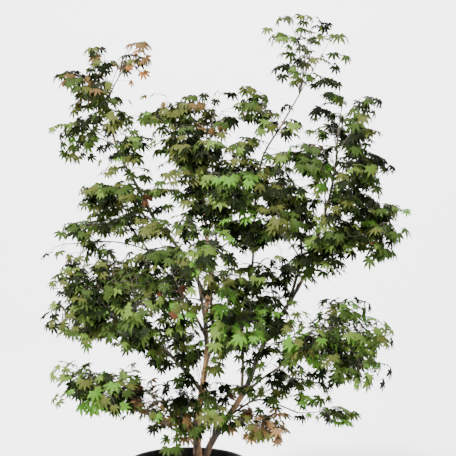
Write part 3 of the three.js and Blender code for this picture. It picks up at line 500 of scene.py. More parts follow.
def turned_about(v, axis, degrees):
    angle = math.radians(degrees)
    cos, sin = math.cos(angle), math.sin(angle)
    return v * cos + np.cross(axis, v) * sin + axis * (axis @ v) * (1 - cos)


def by_height(values, height):
    return np.interp(height, *zip(*values))


def tapering(base, tip):
    """A radius that changes evenly from a base to a tip."""
    return lambda share: base + (tip - base) * share


def round_steps(sides):
    """The angle, the cosine and the sine of each step round a circle."""
    for side in range(sides):
        angle = 2 * math.pi * side / sides
        yield angle, math.cos(angle), math.sin(angle)


class Path:
    """A curve as a fine polyline that is read by its share of length."""

    def __init__(self, points):
        self.points = np.asarray(points, float)
        steps = np.linalg.norm(np.diff(self.points, axis=0), axis=1)
        self.run = np.concatenate([[0], np.cumsum(steps)])
        self.length = self.run[-1]

    def at(self, share):
        reach = min(max(share, 0), 1) * self.length
        return np.array([np.interp(reach, self.run, self.points[:, i]) for i in range(3)])

    def along(self, share):
        return unit(self.at(min(share + 0.01, 1)) - self.at(max(share - 0.01, 0)))


def spline(points, fineness=40):
    """The centripetal Catmull-Rom curve of three.js through the points."""
    p = [np.array(q, float) for q in points]
    p = [2 * p[0] - p[1], *p, 2 * p[-1] - p[-2]]
    found = []
    for a, b, c, d in zip(p, p[1:], p[2:], p[3:]):
        d0, d1, d2 = (np.linalg.norm(v - u) ** 0.5 for u, v in ((a, b), (b, c), (c, d)))
        t1 = ((b - a) / d0 - (c - a) / (d0 + d1) + (c - b) / d1) * d1
        t2 = ((c - b) / d1 - (d - b) / (d1 + d2) + (d - c) / d2) * d1
        square, cube = -3 * b + 3 * c - 2 * t1 - t2, 2 * b - 2 * c + t1 + t2
        found += [b + t1 * t + square * t**2 + cube * t**3 for t in np.arange(fineness) / fineness]
    return Path([*found, p[-2]])


def arc(a, b, c, fineness=12):
    """The curve of three.js from a to c that b pulls on."""
    return Path([(1 - t) ** 2 * a + 2 * t * (1 - t) * b + t * t * c for t in np.linspace(0, 1, fineness + 1)])


# Meshes that are gathered as arrays

class Gather:
    """Corners and faces of many small forms that become one mesh."""

    def __init__(self):
        self.corners = []
        self.faces = []
        self.count = 0

    def add(self, corners, faces):
        self.corners.append(np.asarray(corners, float))
        self.faces.extend([tuple(i + self.count for i in face) for face in faces])
        self.count += len(corners)

    def made(self, name, material, smooth=True):
        mesh = bpy.data.meshes.new(name)
        mesh.from_pydata((np.concatenate(self.corners) * MM).tolist(), [], self.faces)
        mesh.validate()
        mesh.polygons.foreach_set("use_smooth", [smooth] * len(mesh.polygons))
        mesh.materials.append(material)
        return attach(shown(name, mesh), "root")


def shown(name, data):
    """A new object of the scene."""
    thing = bpy.data.objects.new(name, data)
    bpy.context.scene.collection.objects.link(thing)
    return thing


def tube(gather, path, rings, radius_at, sides, relief=None):
    """A tube along a path, closed at both ends. relief(share, angle) multiplies the radius."""
    across = None
    rows = []
    for share in np.linspace(0, 1, rings):
        along = path.along(share)
        if across is None:
            across = np.cross(along, (0, 1, 0) if abs(along[1]) < 0.9 else (1, 0, 0))
        across = unit(across - along * (across @ along))
        other = np.cross(along, across)
        centre = path.at(share)
        radius = radius_at(share)
        for angle, cos, sin in round_steps(sides):
            out = radius * (relief(share, angle) if relief else 1)
            rows.append(centre + out * (cos * across + sin * other))
    close_rings(gather, rows, rings, sides, path.at(0), path.at(1))


def close_rings(gather, rows, count, sides, first, last):
    corners = [first, *rows, last]
    faces = []
    for side in range(sides):
        after = (side + 1) % sides
        faces.append((0, 1 + after, 1 + side))
        top = 1 + (count - 1) * sides
        faces.append((len(corners) - 1, top + side, top + after))
        for row in range(count - 1):
            here = 1 + row * sides
            faces.append((here + side, here + after, here + sides + after, here + sides + side))
    gather.add(corners, faces)


# Limbs with the bark's relief

def lay_limbs():
    laid = {}
    for name, on, at, base, tip, points in LIMBS:
        through = points if on is None else [tuple(laid[on]["path"].at(at)), *points]
        taper = TAPER.get(name, 1)
        laid[name] = {"path": spline(through), "on": on, "base": base, "tip": tip, "taper": taper}
    return laid


def radius_of(limb, share):
    return limb["tip"] + (limb["base"] - limb["tip"]) * (1 - share) ** limb["taper"]


def bark_relief(random, length):
    """Swollen rings where buds sat, shallow furrows along the limb, and slow unevenness."""
    waves = [(1 + int(random() * 4), random() * 6.28, 2 + random() * 5, random() * 6.28) for _ in range(4)]
    rings = [(0.03 + random() * 0.94) for _ in range(int(length / RELIEF["ring_spacing"]))]

    def relief(share, angle):
        reach = share * length
        slow = sum(math.sin(n * angle + shift + 1.3 * math.sin(reach / 37 * pitch / 4 + turn))
                   for n, shift, pitch, turn in waves)
        furrow = math.sin(9 * angle + 2 * math.sin(reach / 41)) * math.sin(reach / 17 + 3 * angle)
        ring = sum(math.exp(-(((share - place) * length / RELIEF["ring_width"]) ** 2)) for place in rings)
        uneven = RELIEF["even"] + RELIEF["slow"] * slow + RELIEF["furrow"] * furrow
        return uneven + RELIEF["ring"] * min(ring, 1.2)

    return relief


def flare(gather):
    """The root flare, a little sunk in the mix, with lobes where the roots leave."""
    x, y = TRUNK["x"], TRUNK["y"]
    foot = SOIL_LEVEL - FLARE["sunk"]
    rise = TRUNK["neck_height"] + FLARE["over"]
    rows = []
    for share in (row / (FLARE["rings"] - 1) for row in range(FLARE["rings"])):
        radius = TRUNK["neck"] + (TRUNK["foot"] - TRUNK["neck"]) * (1 - share) ** 2.4
        for angle, cos, sin in round_steps(FLARE["sides"]):
            lobe = math.cos(TRUNK["lobes"] * angle) + 0.35 * math.sin(3 * angle + 1)
            grain = 0.012 * math.sin(17 * angle + 4 * share) + 0.01 * math.sin(29 * angle - 6 * share)
            out = radius * (1 + TRUNK["lobe_depth"] * (1 - share) ** 1.5 * lobe + grain)
            rows.append(np.array([x + out * cos, y + out * sin, foot + rise * share]))
    ends = np.array([x, y, foot]), np.array([x, y, SOIL_LEVEL + rise])
    close_rings(gather, rows, FLARE["rings"], FLARE["sides"], *ends)


def limb_tube(gather, index, limb):
    path = limb["path"]
    collar = COLLAR["bough" if limb["on"] else "stem"]

    def radius_at(share):
        swell = collar * math.exp(-share * path.length / COLLAR["length"])
        return radius_of(limb, share) * (1 + swell)

    rings = max(int(path.length / LIMB_RINGS["spacing"]), LIMB_RINGS["least"])
    relief = bark_relief(random_from("limb_bark", index), path.length)
    tube(gather, path, rings, radius_at, 20 if limb["base"] > 6 else 12, relief)


def pruned_stub(gather):
    """The stub that was left of a limb, a little swollen at its cut."""
    foot, top = (np.array(PRUNED[end], float) for end in ("foot", "top"))
    stub = Path([foot, (foot + top) / 2, top])
    radius_at = lambda share: tapering(PRUNED["base"], PRUNED["tip"])(share) * (1 + 0.1 * share ** 8)
    tube(gather, stub, 12, radius_at, 18, bark_relief(random_from("stub_bark"), stub.length))


def build_wood(limbs):
    """The leader with the flare, the right stem with the stub, and the boughs, each in its own bark colours;
    the right stem's are painted shade.
    """
    wood = {kind: Gather() for kind in BARK_COLOURS}
    flare(wood["stems"])
    for index, (name, limb) in enumerate(limbs.items()):
        kind = "boughs" if limb["on"] else "right_stem" if name == "right_stem" else "stems"
        limb_tube(wood[kind], index, limb)
    pruned_stub(wood["right_stem"])
    boughs = [f"bough_{name}" for name in limbs if limbs[name]["on"]]
    for kind, nodes in (("stems", ["trunk", "leader"]), ("right_stem", ["right_stem"]), ("boughs", boughs)):
        tones = list(zip(BARK_PLACES, BARK_COLOURS[kind]))
        piece = wood[kind].made(f"bark_{kind}", Finish(f"bark_{kind}", "bark", tones).material)
        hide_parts(*nodes)


# Twigs and leaves

def nearest_limb(limbs):
    """A test for a point that lies in or close by a limb."""
    places, radii = [], []
    for limb in limbs.values():
        for share in np.linspace(0, 1, int(limb["path"].length / 6)):
            places.append(limb["path"].at(share))
            radii.append(radius_of(limb, share))
    places, radii = np.array(places), np.array(radii)

    def clear(point, margin):
        return bool(np.all(np.linalg.norm(places - point, axis=1) > radii + margin))

    return clear


def twig_tips(centre, reach, count, random):
    inner = [max(reach[i] - SPRAY["across" if i < 2 else "up"], SPRAY["least"]) for i in range(3)]
    start = random() * 2 * math.pi
    tips = []
    for k in range(count):
        height = CLIMB["rise"] * k / (count - 1) + CLIMB["from"] if count > 1 else 0
        narrowed = math.sqrt(1 - STANDING["narrowing"] * height * height)
        out = (STANDING["least"] + STANDING["spread"] * random()) * narrowed
        angle = start + k * GOLDEN_TURN
        tips.append(centre + np.array([out * math.cos(angle), out * math.sin(angle), height]) * inner)
    return tips


def facing_of(centre, random):
    facing = np.array([centre[0] - TRUNK["x"], centre[1], 0.0]) * FACING["outward"] / 500
    facing[1] += FACING["sideward"] if centre[1] > FACING["back"] else -FACING["sideward"]
    facing += np.array([random() - 0.5, random() - 0.5, 0]) * FACING["unevenness"]
    facing[2] = 1
    return unit(facing)


def grow(mass, index, limbs):
    """The stem and the sprays of a mass, by the source's rule. Each spray also draws the source's vigour."""
    _, on, at, centre, reach, pairs, _ = mass
    random = random_from("mass", index)
    limb = limbs[on]["path"]
    centre = np.array(centre, float)
    foot = limb.at(at)
    lead = limb.along(at) * np.linalg.norm(foot - centre) * STEM["lead"]
    stem = arc(foot, foot + lead + (centre - foot - lead) * STEM["bend"], centre)
    count = pairs - (2 if pairs > STEM["fewest"] else 1)
    tips = sorted(twig_tips(centre, reach, count, random), key=lambda tip: np.linalg.norm(tip - foot))
    last = 1 - TWIG["bud"] / stem.length
    knots = [stem.at(TWIG["first"] + (last - TWIG["first"]) * (k + 0.5) / count) for k in range(count)]
    sprays = []

    def add(root, tip, heading):
        sprays.append({"root": root, "tip": tip, "heading": heading, "turn": random()})
        random()

    for tip in tips:
        cost = [np.linalg.norm(knot - tip) + TWIG["backward"] * np.linalg.norm(knot - foot) for knot in knots]
        root = knots.pop(int(np.argmin(cost)))
        add(root, tip, unit(tip - root))
    for share in [last, TWIG["first"]] if pairs > STEM["fewest"] else [last]:
        add(None, stem.at(share), stem.along(share))
    return stem, sprays, facing_of(centre, random)


def leaf_form(random):
    """A leaf of seven pointed lobes, folded along its midribs, its palm at the origin and its tip along X."""
    droop = 0.16 + 0.22 * random()
    fold = 0.22 + 0.2 * random()
    lobes = [(sign * angle + 5 * (random() - 0.5), length * (0.93 + 0.14 * random()), random())
             for angle, length in LOBES for sign in ([1] if angle == 0 else [-1, 1])]
    lobes.sort()
    corners = [(0.0, 0.0, 0.0)]
    faces = []

    def flat(angle, out, rise):
        a = math.radians(angle)
        corners.append((out * math.cos(a), out * math.sin(a), rise - droop * out * out))
        return len(corners) - 1

    gaps = [(a[0] + b[0]) / 2 for a, b in zip(lobes, lobes[1:])]
    first, final = lobes[0][0] - BASE_NOTCH["angle"], lobes[-1][0] + BASE_NOTCH["angle"]
    base = lambda angle: flat(angle, BASE_NOTCH["out"], BASE_NOTCH["rise"])
    notches = [base(first), *(flat(gap, NOTCH * (0.9 + 0.2 * random()), 0.05) for gap in gaps), base(final)]
    for k, (angle, length, lift) in enumerate(lobes):
        widths = BASAL_WIDTHS if abs(angle) > 100 else LOBE_WIDTHS
        count = len(widths)
        tilt = (lift - 0.5) * 0.14
        middle = [flat(angle, length * (s + 1) / (count + 1), tilt * s / count) for s in range(count + 1)]
        for side in (0, 1):
            notch = notches[k + side]
            nx, ny, _ = corners[notch]
            away = math.atan2(ny, nx) - math.radians(angle)
            start, width = math.hypot(nx, ny) * math.cos(away), math.hypot(nx, ny) * math.sin(away)
            edge = [notch]
            for s in range(1, count):
                share = s / count
                out = start + (length - start) * share
                wide = width * widths[s]
                turn = angle + math.degrees(math.atan2(wide, out))
                edge.append(flat(turn, math.hypot(out, wide), tilt * share + fold * abs(wide)))
            strip(faces, middle, edge, side)
            faces.append((0, notch, middle[0]) if side else (0, middle[0], notch))
    return np.array(corners), faces


def strip(faces, middle, edge, side):
    """Faces between a midrib and an edge, up to the lobe's tip."""
    found = [(middle[k], edge[k], edge[k + 1], middle[k + 1]) for k in range(len(edge) - 1)]
    found.append((middle[len(edge) - 1], edge[-1], middle[-1]))
    faces.extend(face if side else face[::-1] for face in found)


def place_leaf(gather, form, palm, heading, normal, size):
    """A copy of a leaf's form, turned and sized."""
    side = unit(np.cross(normal, heading))
    up = np.cross(heading, side)
    corners, faces = form
    gather.add(palm + size * corners @ np.array([heading, side, up]), faces)


def seen_at(point):
    """The photograph's pixel across and down that shows a point."""
    x, y, z = point - np.array(CAMERA["place"])
    down = math.radians(CAMERA["down"])
    depth = y * math.cos(down) - z * math.sin(down)
    return CENTRE + FOCAL * x / depth, CENTRE - FOCAL * (z * math.cos(down) + y * math.sin(down)) / depth


def point_seen(across, down, y):
    """The point at the depth y that the photograph's pixel shows."""
    place = CAMERA["place"]
    lean = math.radians(CAMERA["down"])
    rise = (CENTRE - down) / FOCAL
    away = y - place[1]
    z = away * (rise * math.cos(lean) - math.sin(lean)) / (math.cos(lean) + rise * math.sin(lean))
    x = (across - CENTRE) / FOCAL * (away * math.cos(lean) - z * math.sin(lean))
    return np.array([place[0] + x, y, place[2] + z])


def stays(point, share):
    """The share of the leaves that stays at a point, less where the photograph shows sky there."""
    u, v = seen_at(point)
    for across, down, width, height, keep in SKY.values():
        near = math.exp(-((((u - across) / width) ** 2 + ((v - down) / height) ** 2) ** 2))
        share += (min(keep, share) - share) * near
    return share


class Crown:
    """All twigs and leaves, gathered by kind."""

    def __init__(self, limbs):
        self.limbs = limbs
        self.clear = nearest_limb(limbs)
        self.twigs = Gather()
        self.leaves = {(name, side): Gather() for name in LEAF_COLOURS for side in SIDES}
        self.forms = [leaf_form(random_from("leaf", k)) for k in range(LEAF_FORMS)]
        self.middles = np.full((MOST_LEAVES, 3), FAR)
        self.placed = 0

    def begin(self, random, tint, x, scale, fullness, stay=1, space=None, spacing=SPRIG["spacing"]):
        """What the shoots that follow have in common."""
        self.random, self.tint, self.scale, self.fullness = random, tint, scale, fullness
        self.stay, self.space, self.spacing = stay, space, spacing
        self.side = "left" if x < TRUNK["x"] else "right"

    def mass(self, mass, index):
        name, on, at, centre, reach, pairs, tint = mass
        stem, sprays, facing = grow(mass, index, self.limbs)
        facing = unit(facing * (1, by_height(LEAN, centre[2]), 1))
        space = (np.array(centre, float), np.array(reach, float))
        spacing = NODES["spacing"] / DENSITY.get(name, 1)
        scale, fullness = LEAF_SCALE.get(name, 1), FULLNESS.get(name, 1)
        random = random_from("mass_shoots", index)
        self.begin(random, tint, centre[0], scale, fullness, by_height(STAY, centre[2]), space, spacing)
        base = min(STEM["base"], radius_of(self.limbs[on], at) * STEM["thinnest"])
        relief = bark_relief(random_from("stem_bark", index), stem.length)
        tube(self.twigs, stem, 14, tapering(base, STEM["tip"]), 6, relief)
        self.side_shoots(stem, facing, TWIG["first"])
        for spray in sprays:
            layer = self.tilted(facing, TILT["spray"])
            if spray["root"] is not None:
                middle = (spray["root"] + spray["tip"]) / 2 + 5 * (self.random() - 0.3) * UP
                path = arc(spray["root"], middle, spray["tip"], 6)
                tube(self.twigs, path, 5, tapering(*RADII["spray"]), 5)
                self.side_shoots(path, layer, NODES["first"])
            self.end_shoots(spray, layer)

    def limb_shoots(self, name, index):
        """Leafy shoots in opposite pairs straight from a limb, some at the end of a thin twig."""
        first, last, chance, reach, tint = LIMB_SHOOTS[name]
        path = self.limbs[name]["path"]
        scale, fullness = LIMB_SHOOT["scale"], LIMB_SHOOT["fullness"]
        self.begin(random_from("limb_shoots", index), tint, path.at(0.7)[0], scale, fullness)
        count = int(path.length * (last - first) / LIMB_SHOOT["spacing"])
        turn = self.random() * 180
        for k in range(count):
            share = first + (last - first) * (k + 0.3 + 0.4 * self.random()) / count
            along = path.along(share)
            turn += 90 + 30 * (self.random() - 0.5)
            across = unit(np.cross(along, (0, 0.3, 1) if abs(along[2]) < 0.8 else (1, 0, 0)))
            out = turned_about(across, along, turn)
            for side in (-1, 1):
                if self.random() < chance:
                    heading = unit(side * out + LIMB_SHOOT["ahead"] * along + np.array([0, -0.1, 0.12]))
                    self.limb_shoot(path.at(share), heading, reach * (0.3 + 1.5 * self.random() ** 2))

    def limb_shoot(self, foot, heading, reach):
        facing = self.tilted(unit(np.array([0.25 * heading[0], -0.35, 1])), TILT["limb_shoot"])
        flat = in_layer(heading, facing, 0.6)
        if reach < LIMB_SHOOT["least"]:
            self.shoot(foot, flat, facing, 2 if self.random() > 0.4 else 1, self.colour())
            return
        tip = foot + flat * reach + LIMB_SHOOT["rise"] * reach * UP
        if self.clear(tip, CLEARANCE["twig"]):
            path = arc(foot, (foot + tip) / 2 + LIMB_SHOOT["bow"] * reach * UP, tip, 6)
            tube(self.twigs, path, 6, tapering(*RADII["limb_shoot"]), 5)
            self.fan(tip, in_layer(flat, facing), facing)

    def sprig(self, name, index):
        """A leafy twig from a limb to a place that the photograph shows."""
        limb, at, across, down, y, tint, *thin = SPRIGS[name]
        foot, tip = self.limbs[limb]["path"].at(at), point_seen(across, down, y)
        fullness = thin[0] if thin else SPRIG["fullness"]
        self.begin(random_from("sprig", index), tint, tip[0], SPRIG["scale"], fullness)
        reach = np.linalg.norm(tip - foot)
        lead = self.limbs[limb]["path"].along(at) * SPRIG["lead"] * reach
        path = arc(foot, foot + lead + (tip - foot) * SPRIG["bend"], tip)
        tube(self.twigs, path, 9, tapering(*RADII["sprig"]), 5)
        facing = self.tilted(unit(np.array([0, -0.5 * by_height(LEAN, tip[2]), 1])), TILT["sprig"])
        self.side_shoots(path, facing, max(SPRIG["bare"], 1 - SPRIG["leafy"] / reach))
        self.fan(tip, in_layer(unit(tip - foot), facing), facing, sure=True)

    def fan(self, tip, ahead, facing, sure=False):
        """Shoots at a twig's end: one ahead, with two pairs of leaves, and one to each side."""
        for turn in FAN:
            if (sure and turn == 0) or self.random() < self.fullness:
                self.shoot(tip, turned_about(ahead, facing, turn), facing, 1 if turn else 2, self.colour())

    def tilted(self, facing, most):
        axis = unit(np.array([self.random() - 0.5, self.random() - 0.5, 0.3 * (self.random() - 0.5)]))
        return turned_about(facing, unit(np.cross(facing, axis)), most * self.random())

    def side_shoots(self, path, facing, first):
        """Opposite shoots at each node of a twig, in the layer of its leaves."""
        room = path.length * (1 - first) - NODES["margin"]
        count = int(room / self.spacing)
        for k in range(count):
            step = k + 0.5 + NODES["uneven"] * (self.random() - 0.5)
            share = first + step * room / count / path.length
            ahead = in_layer(path.along(share), facing)
            for side in (-1, 1):
                turn = side * (SHOOT["spread"] + SHOOT["sway"] * (self.random() - 0.5))
                pairs = 2 if self.random() > SHOOT["single"] else 1
                if self.random() < self.fullness:
                    heading = turned_about(ahead, facing, turn)
                    self.shoot(path.at(share), heading, facing, pairs, self.colour())

    def end_shoots(self, spray, facing):
        """Shoots that leave a spray's tip: one ahead, and one to each side where the source has a leaf."""
        ahead = in_layer(spray["heading"] + TIP["outward"] * unit(spray["tip"] - self.space[0]), facing)
        colour = self.colour()
        for turn in FAN:
            sway = (spray["turn"] - 0.5) * TIP["turn"] + TIP["sway"] * (self.random() - 0.5)
            if self.random() < self.fullness + TIP["fuller"]:
                self.shoot(spray["tip"], turned_about(ahead, facing, turn + sway), facing, 2, colour)

    def colour(self):
        draw = self.random()
        for name, share in TINTS[self.tint].items():
            draw -= share
            if draw < 0:
                return name
        return next(iter(TINTS[self.tint]))

    def shoot(self, start, heading, facing, pairs, colour):
        """A short shoot with opposite leaves, drawn only if some of its leaves find room."""
        random = self.random
        length = SHOOT["step"] * pairs * (SHOOT["least"] + SHOOT["more"] * random()) * self.scale
        rise = SHOOT["uneven"] * (random() - SHOOT["dip"])
        end = start + heading * length + facing * rise - SHOOT["sag"] * length * UP
        path = arc(start, (start + end) / 2 + facing * (2 + 0.1 * length), end, 5)
        if not (self.clear(end, CLEARANCE["shoot"]) and self.inside(end, SHOOT["space"])):
            return
        before = self.placed
        for pair in range(pairs):
            share = 1 if pair == pairs - 1 else (pair + 1) / pairs
            along = in_layer(path.along(share), facing, 0.8)
            for side in (-1, 1):
                tone = colour if random() > SHOOT["mixed"] else self.colour()
                tone = "rust" if random() < TURNED_EARLY else tone
                turn = side * (LEAF_TURN["end" if share == 1 else "side"] + LEAF_TURN["more"] * random())
                self.leaf(path.at(share), turned_about(along, facing, turn), facing, tone)
        if self.placed > before:
            tube(self.twigs, path, 4, tapering(*RADII["shoot"]), 3)

    def leaf(self, node, heading, facing, colour):
        """A leaf on its stalk, where it keeps clear of the limbs and the other leaves."""
        random = self.random
        roll = LEAF_TURN["roll"] * (random() - 0.5)
        drooping = by_height(DROOP_SPREAD, node[2]) * random() ** BLADE["droop_power"]
        pitch = by_height(DROOP, node[2]) + drooping
        stalk_length = STALK["length"] * (STALK["least"] + STALK["more"] * random()) * self.scale
        size = BLADE["length"] * (BLADE["least"] + (BLADE["most"] - BLADE["least"]) * random()) * self.scale
        form = self.forms[int(random() * len(self.forms))]
        palm = node + heading * stalk_length - STALK["sag"] * stalk_length * UP
        side = unit(np.cross(facing, heading))
        down = turned_about(heading, side, pitch)
        normal = turned_about(turned_about(facing, heading, roll), side, pitch)
        middle = palm + down * size * BLADE["middle"]
        if not self.inside(palm + down * size * BLADE["end"], BLADE["space"]):
            return
        if not self.clear(palm, CLEARANCE["palm"]):
            return
        if not self.clear(palm + down * size * BLADE["heart"], CLEARANCE["blade"]):
            return
        if np.min(np.linalg.norm(self.middles[:self.placed + 1] - middle, axis=1)) < BLADE["apart"] * size:
            return
        if random() > stays(middle, self.stay):
            return
        self.middles[self.placed] = middle
        stalk = arc(node, (node + palm) / 2 + facing * stalk_length * STALK["bow"], palm, 3)
        tube(self.twigs, stalk, 2, lambda share: STALK["radius"], 3)
        place_leaf(self.leaves[colour, self.side], form, palm, down, normal, size)
        self.placed += 1

    def inside(self, point, factor):
        if self.space is None:
            return True
        centre, reach = self.space
        return np.linalg.norm((point - centre) / reach) < factor


def build_crown(limbs):
    crown = Crown(limbs)
    for index, mass in enumerate(FOLIAGE):
        crown.mass(mass, index)
    for index, name in enumerate(LIMB_SHOOTS):
        crown.limb_shoots(name, index)
    for index, name in enumerate(SPRIGS):
        crown.sprig(name, index)
    twigs = crown.twigs.made("twigs", Finish("twig", "twig", TWIG_TONES).material)
    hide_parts(*[f"foliage_{mass[0]}" for mass in FOLIAGE])
    for name, colour in LEAF_COLOURS.items():
        material = leaf_material(f"leaves_{name}", colour)
        for side in SIDES:
            if crown.leaves[name, side].count:
                piece = crown.leaves[name, side].made(f"leaves_{name}_{side}", material)


# Finishes

class Finish:
    """A material whose colour, roughness and relief can follow the noise of its grain."""

    def __init__(self, name, kind=None, tones=None):
        self.material = bpy.data.materials.new(name)
        self.material.use_nodes = True
        self.nodes = self.material.node_tree.nodes
        self.shader = self.nodes["Principled BSDF"]
        if kind:
            grain, (low, high), relief, (strength, distance) = GRAINS[kind]
            source = self.noise(*grain)
            if tones:
                self.set(self.shader, Base_Color=self.ramp(source, tones))
            rough = self.add("MapRange", To_Min=low, To_Max=high, Value=source)
            height = self.noise(*relief) if relief else source
            bump = self.add("Bump", Strength=strength, Distance=distance, Height=height)
            self.set(self.shader, Roughness=rough.outputs["Result"], Normal=bump.outputs["Normal"])

    def set(self, node, **values):
        """Gives inputs of a node their values, or links them to the outputs that feed them."""
        for name, value in values.items():
            socket = node.inputs[name.replace("_", " ")]
            if isinstance(value, bpy.types.NodeSocket):
                self.material.node_tree.links.new(value, socket)
            else:
                socket.default_value = value
        return node

    def add(self, kind, **values):
        return self.set(self.nodes.new(f"ShaderNode{kind}"), **values)

    def noise(self, scale, detail, stretch=(1, 1, 1)):
        mapping = self.add("Mapping", Scale=stretch, Vector=self.add("TexCoord").outputs["Object"])
        noise = self.add("TexNoise", Scale=scale, Detail=detail, Vector=mapping.outputs["Vector"])
        return noise.outputs["Fac"]

    def ramp(self, source, tones):
        ramp = self.add("ValToRGB", Fac=source)
        while len(ramp.color_ramp.elements) < len(tones):
            ramp.color_ramp.elements.new(0.5)
        for element, (place, colour) in zip(ramp.color_ramp.elements, tones):
            element.position = place
            element.color = (*colour, 1)
        return ramp.outputs["Color"]


def leaf_material(name, colour):
    """A thin satin leaf of one plain colour that lets some light through."""
    finish = Finish(name, "leaf")
    finish.set(finish.shader, Base_Color=(*colour, 1), Specular_IOR_Level=SATIN["specular"], IOR=SATIN["ior"])
    passed = (part * gain for part, gain in zip(colour, SATIN["glow"]))
    glow = finish.add("BsdfTranslucent", Color=(*passed, 1))
    mix = finish.add("MixShader", Fac=SATIN["through"])
    for place, shader in enumerate((finish.shader, glow), 1):
        finish.material.node_tree.links.new(shader.outputs["BSDF"], mix.inputs[place])
    finish.set(finish.nodes["Material Output"], Surface=mix.outputs["Shader"])
    return finish.material


# The pot and the soil

def lathe(gather, profile, sides):
    """A closed surface turned about the pot's axis, from its foot's middle to its floor's middle."""
    rows = [np.array([radius * cos, radius * sin, height])
            for radius, height in profile for _, cos, sin in round_steps(sides)]
    close_rings(gather, rows, len(profile), sides, *(np.array([0, 0, profile[end][1]]) for end in (0, -1)))


def rounded(points, radius, fineness=4):
    """The profile with its inner corners rounded."""
    found = [points[0]]
    for a, b, c in zip(points, points[1:], points[2:]):
        a, b, c = np.array(a, float), np.array(b, float), np.array(c, float)
        cut = min(radius, 0.45 * np.linalg.norm(a - b), 0.45 * np.linalg.norm(c - b))
        start, end = b + unit(a - b) * cut, b + unit(c - b) * cut
        for t in np.linspace(0, 1, fineness):
            found.append(tuple((1 - t) ** 2 * start + 2 * t * (1 - t) * b + t * t * end))
    return [*found, points[-1]]


def drill(pot):
    """Cuts the drain holes through the pot's floor."""
    gather = Gather()
    for k in range(DRAINS["count"]):
        turn = math.radians(45 + 360 / DRAINS["count"] * k)
        foot = np.array([DRAINS["ring"] * math.cos(turn), DRAINS["ring"] * math.sin(turn), -5])
        tube(gather, Path([foot, foot + (0, 0, 20)]), 2, lambda share: DRAINS["radius"], DRAINS["sides"])
    cutter = gather.made("drains", pot.data.materials[0])
    cut = pot.modifiers.new("drains", "BOOLEAN")
    cut.operation = "DIFFERENCE"
    cut.object = cutter
    whole = bpy.data.meshes.new_from_object(pot.evaluated_get(bpy.context.evaluated_depsgraph_get()))
    pot.modifiers.clear()
    pot.data = whole
    bpy.data.objects.remove(cutter)


def build_pot():
    foot, rim, top, wall, floor = (POT[part] for part in ("foot", "rim", "height", "wall", "floor"))
    chamfer, middle = POT["chamfer"], POT["middle"]
    under_lip = top - POT["lip_depth"]
    body = rim - POT["lip"]
    slope = (body - foot) / (under_lip - chamfer)
    ribs = []
    for z in (*RIBS["low"], *(under_lip - below for below in RIBS["under_lip"])):
        ribs += [(foot + slope * (z - chamfer) + out, z + up) for out, up in RIB]
    profile = [(middle, 0), (foot - chamfer, 0), (foot, chamfer), *ribs, (body, under_lip),
               (rim - 0.5, under_lip + 1), (rim, top - 3), (rim - 2.5, top), (body + 1, top),
               (body - wall, top - 5), (body - wall, under_lip), (foot - wall, floor), (middle, floor)]
    gather = Gather()
    lathe(gather, rounded(profile, POT["rounding"]), POT["sides"])
    plastic = Finish("pot_plastic", "pot", POT_TONES)
    plastic.set(plastic.shader, Specular_IOR_Level=POT_SPECULAR)
    pot = gather.made("pot_shell", plastic.material)
    drill(pot)
    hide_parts("pot")


def build_soil():
    slope = (POT["rim"] - POT["lip"] - POT["foot"]) / (POT["height"] - POT["lip_depth"] - POT["floor"])
    edge = POT["foot"] - POT["wall"] + slope * (SOIL["top"] - SOIL["sag"] - POT["floor"]) - SOIL["gap"]
    random = random_from("soil")
    waves = [(random() * 0.09 + 0.02, random() * 6.28, random() * 6.28) for _ in range(14)]

    def height(x, y):
        r = math.hypot(x, y)
        sag = SOIL["sag"] * max(0, (r - SOIL["flat"]) / (edge - SOIL["flat"]))
        rough = sum(math.sin(pitch * (x * math.cos(turn) + y * math.sin(turn)) + shift)
                    for pitch, turn, shift in waves)
        return SOIL["top"] - sag - SOIL["lowered"] + SOIL["rough"] * rough * (0.4 if r < SOIL["calm"] else 1)

    gather = Gather()
    rings, sides, bottom = 70, 140, SOIL["top"] - SOIL["depth"]
    rows = []
    for r in (6 + (edge - 6) * ring / (rings - 1) for ring in range(rings)):
        for _, cos, sin in round_steps(sides):
            rows.append(np.array([r * cos, r * sin, height(r * cos, r * sin)]))
    rows += [np.array([edge * cos, edge * sin, bottom]) for _, cos, sin in round_steps(sides)]
    close_rings(gather, rows, rings + 1, sides, np.array([0, 0, height(0, 0)]), np.array([0, 0, bottom]))
    soil = gather.made("soil_surface", Finish("potting_mix", "soil", SOIL_TONES).material)
    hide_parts("soil")
    scatter_chips(height, edge, random)


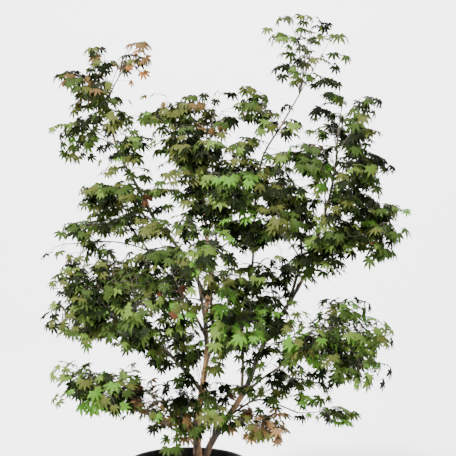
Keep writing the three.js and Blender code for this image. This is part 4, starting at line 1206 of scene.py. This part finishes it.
def scatter_chips(height, edge, random):
    """Chips of bark and grains of grit that lie on the mix."""
    gathers = {name: Gather() for name in CHIP_COLOURS}
    for _ in range(CHIPS["count"]):
        r = (edge - CHIPS["margin"]) * math.sqrt(random())
        a = random() * 2 * math.pi
        x, y = r * math.cos(a), r * math.sin(a)
        if math.hypot(x - TRUNK["x"], y - TRUNK["y"]) < TRUNK["foot"] * 0.9:
            continue
        size = CHIPS["least"] + CHIPS["more"] * random() ** 2
        shape = np.array([size, size * (0.35 + 0.4 * random()), size * 0.22])
        turn = random() * 2 * math.pi
        across = np.array([math.cos(turn), math.sin(turn), 0.5 * (random() - 0.5)])
        other = np.array([-math.sin(turn), math.cos(turn), 0.4 * (random() - 0.5)])
        middle = np.array([x, y, height(x, y) + CHIPS["lift"]])
        corners = []
        for i, j, k in itertools.product((-1, 1), repeat=3):
            jitter = 0.75 + 0.5 * random()
            corner = i * shape[0] * across + j * shape[1] * other + k * shape[2] * UP
            corners.append(middle + 0.5 * jitter * corner)
        draw = random()
        kind = "dark" if draw < CHIPS["dark"] else "brown" if draw < CHIPS["brown"] else "pale"
        gathers[f"chips_{kind}"].add(corners, BOX_FACES)
    for name, gather in gathers.items():
        dark = tuple(0.45 * part for part in CHIP_COLOURS[name])
        material = Finish(name, "chips", [(0.35, dark), (0.65, CHIP_COLOURS[name])]).material
        gather.made(name, material, smooth=False)


# The studio

def build_camera():
    data = bpy.data.cameras.new("camera")
    data.lens = CAMERA["lens"]
    data.sensor_width = CAMERA["sensor"]
    data.clip_end = 50
    camera = shown("camera", data)
    camera.location = Vector(CAMERA["place"]) * MM
    camera.rotation_euler = (math.radians(90 - CAMERA["down"]), 0, 0)
    bpy.context.scene.camera = camera


def build_stage():
    """A pale floor that curves up into a pale wall all round."""
    flat, bend, top, sides = (STAGE[part] for part in ("flat", "bend", "top", "sides"))
    profile = [(flat * k / 4, 0) for k in range(1, 5)]
    rise = np.linspace(0.08, math.pi / 2, 18)
    profile += [(flat + bend * math.sin(angle), bend * (1 - math.cos(angle))) for angle in rise]
    profile += [(flat + bend, top)]
    corners = [(0, 0, 0)]
    faces = []
    for row, (radius, height) in enumerate(profile):
        corners += [(radius * cos, radius * sin, height) for _, cos, sin in round_steps(sides)]
        for side in range(sides):
            here, after = row * sides + side + 1, row * sides + (side + 1) % sides + 1
            faces.append((here - sides, here, after, after - sides) if row else (0, here, after))
    mesh = bpy.data.meshes.new("stage")
    mesh.from_pydata(corners, [], faces)
    mesh.polygons.foreach_set("use_smooth", [True] * len(mesh.polygons))
    finish = Finish("stage")
    finish.set(finish.shader, Base_Color=(*STAGE["colour"], 1), Roughness=STAGE["roughness"])
    mesh.materials.append(finish.material)
    shown("stage", mesh)


def add_light(name, place, target, size, power, colour):
    data = bpy.data.lights.new(name, "AREA")
    data.shape = "DISK"
    data.size = size
    data.energy = power
    data.color = colour
    light = shown(name, data)
    light.location = place
    light.rotation_euler = (Vector(target) - Vector(place)).to_track_quat("-Z", "Y").to_euler()


def build_lights():
    world = bpy.data.worlds.new("studio")
    world.use_nodes = True
    background = world.node_tree.nodes["Background"]
    background.inputs["Color"].default_value = (*SURROUND["colour"], 1)
    background.inputs["Strength"].default_value = SURROUND["strength"]
    bpy.context.scene.world = world
    for name, light in LIGHTS.items():
        add_light(name, *light)


# The whole plant

build_camera()
limbs = lay_limbs()
build_wood(limbs)
build_crown(limbs)
build_pot()
build_soil()
build_stage()
build_lights()
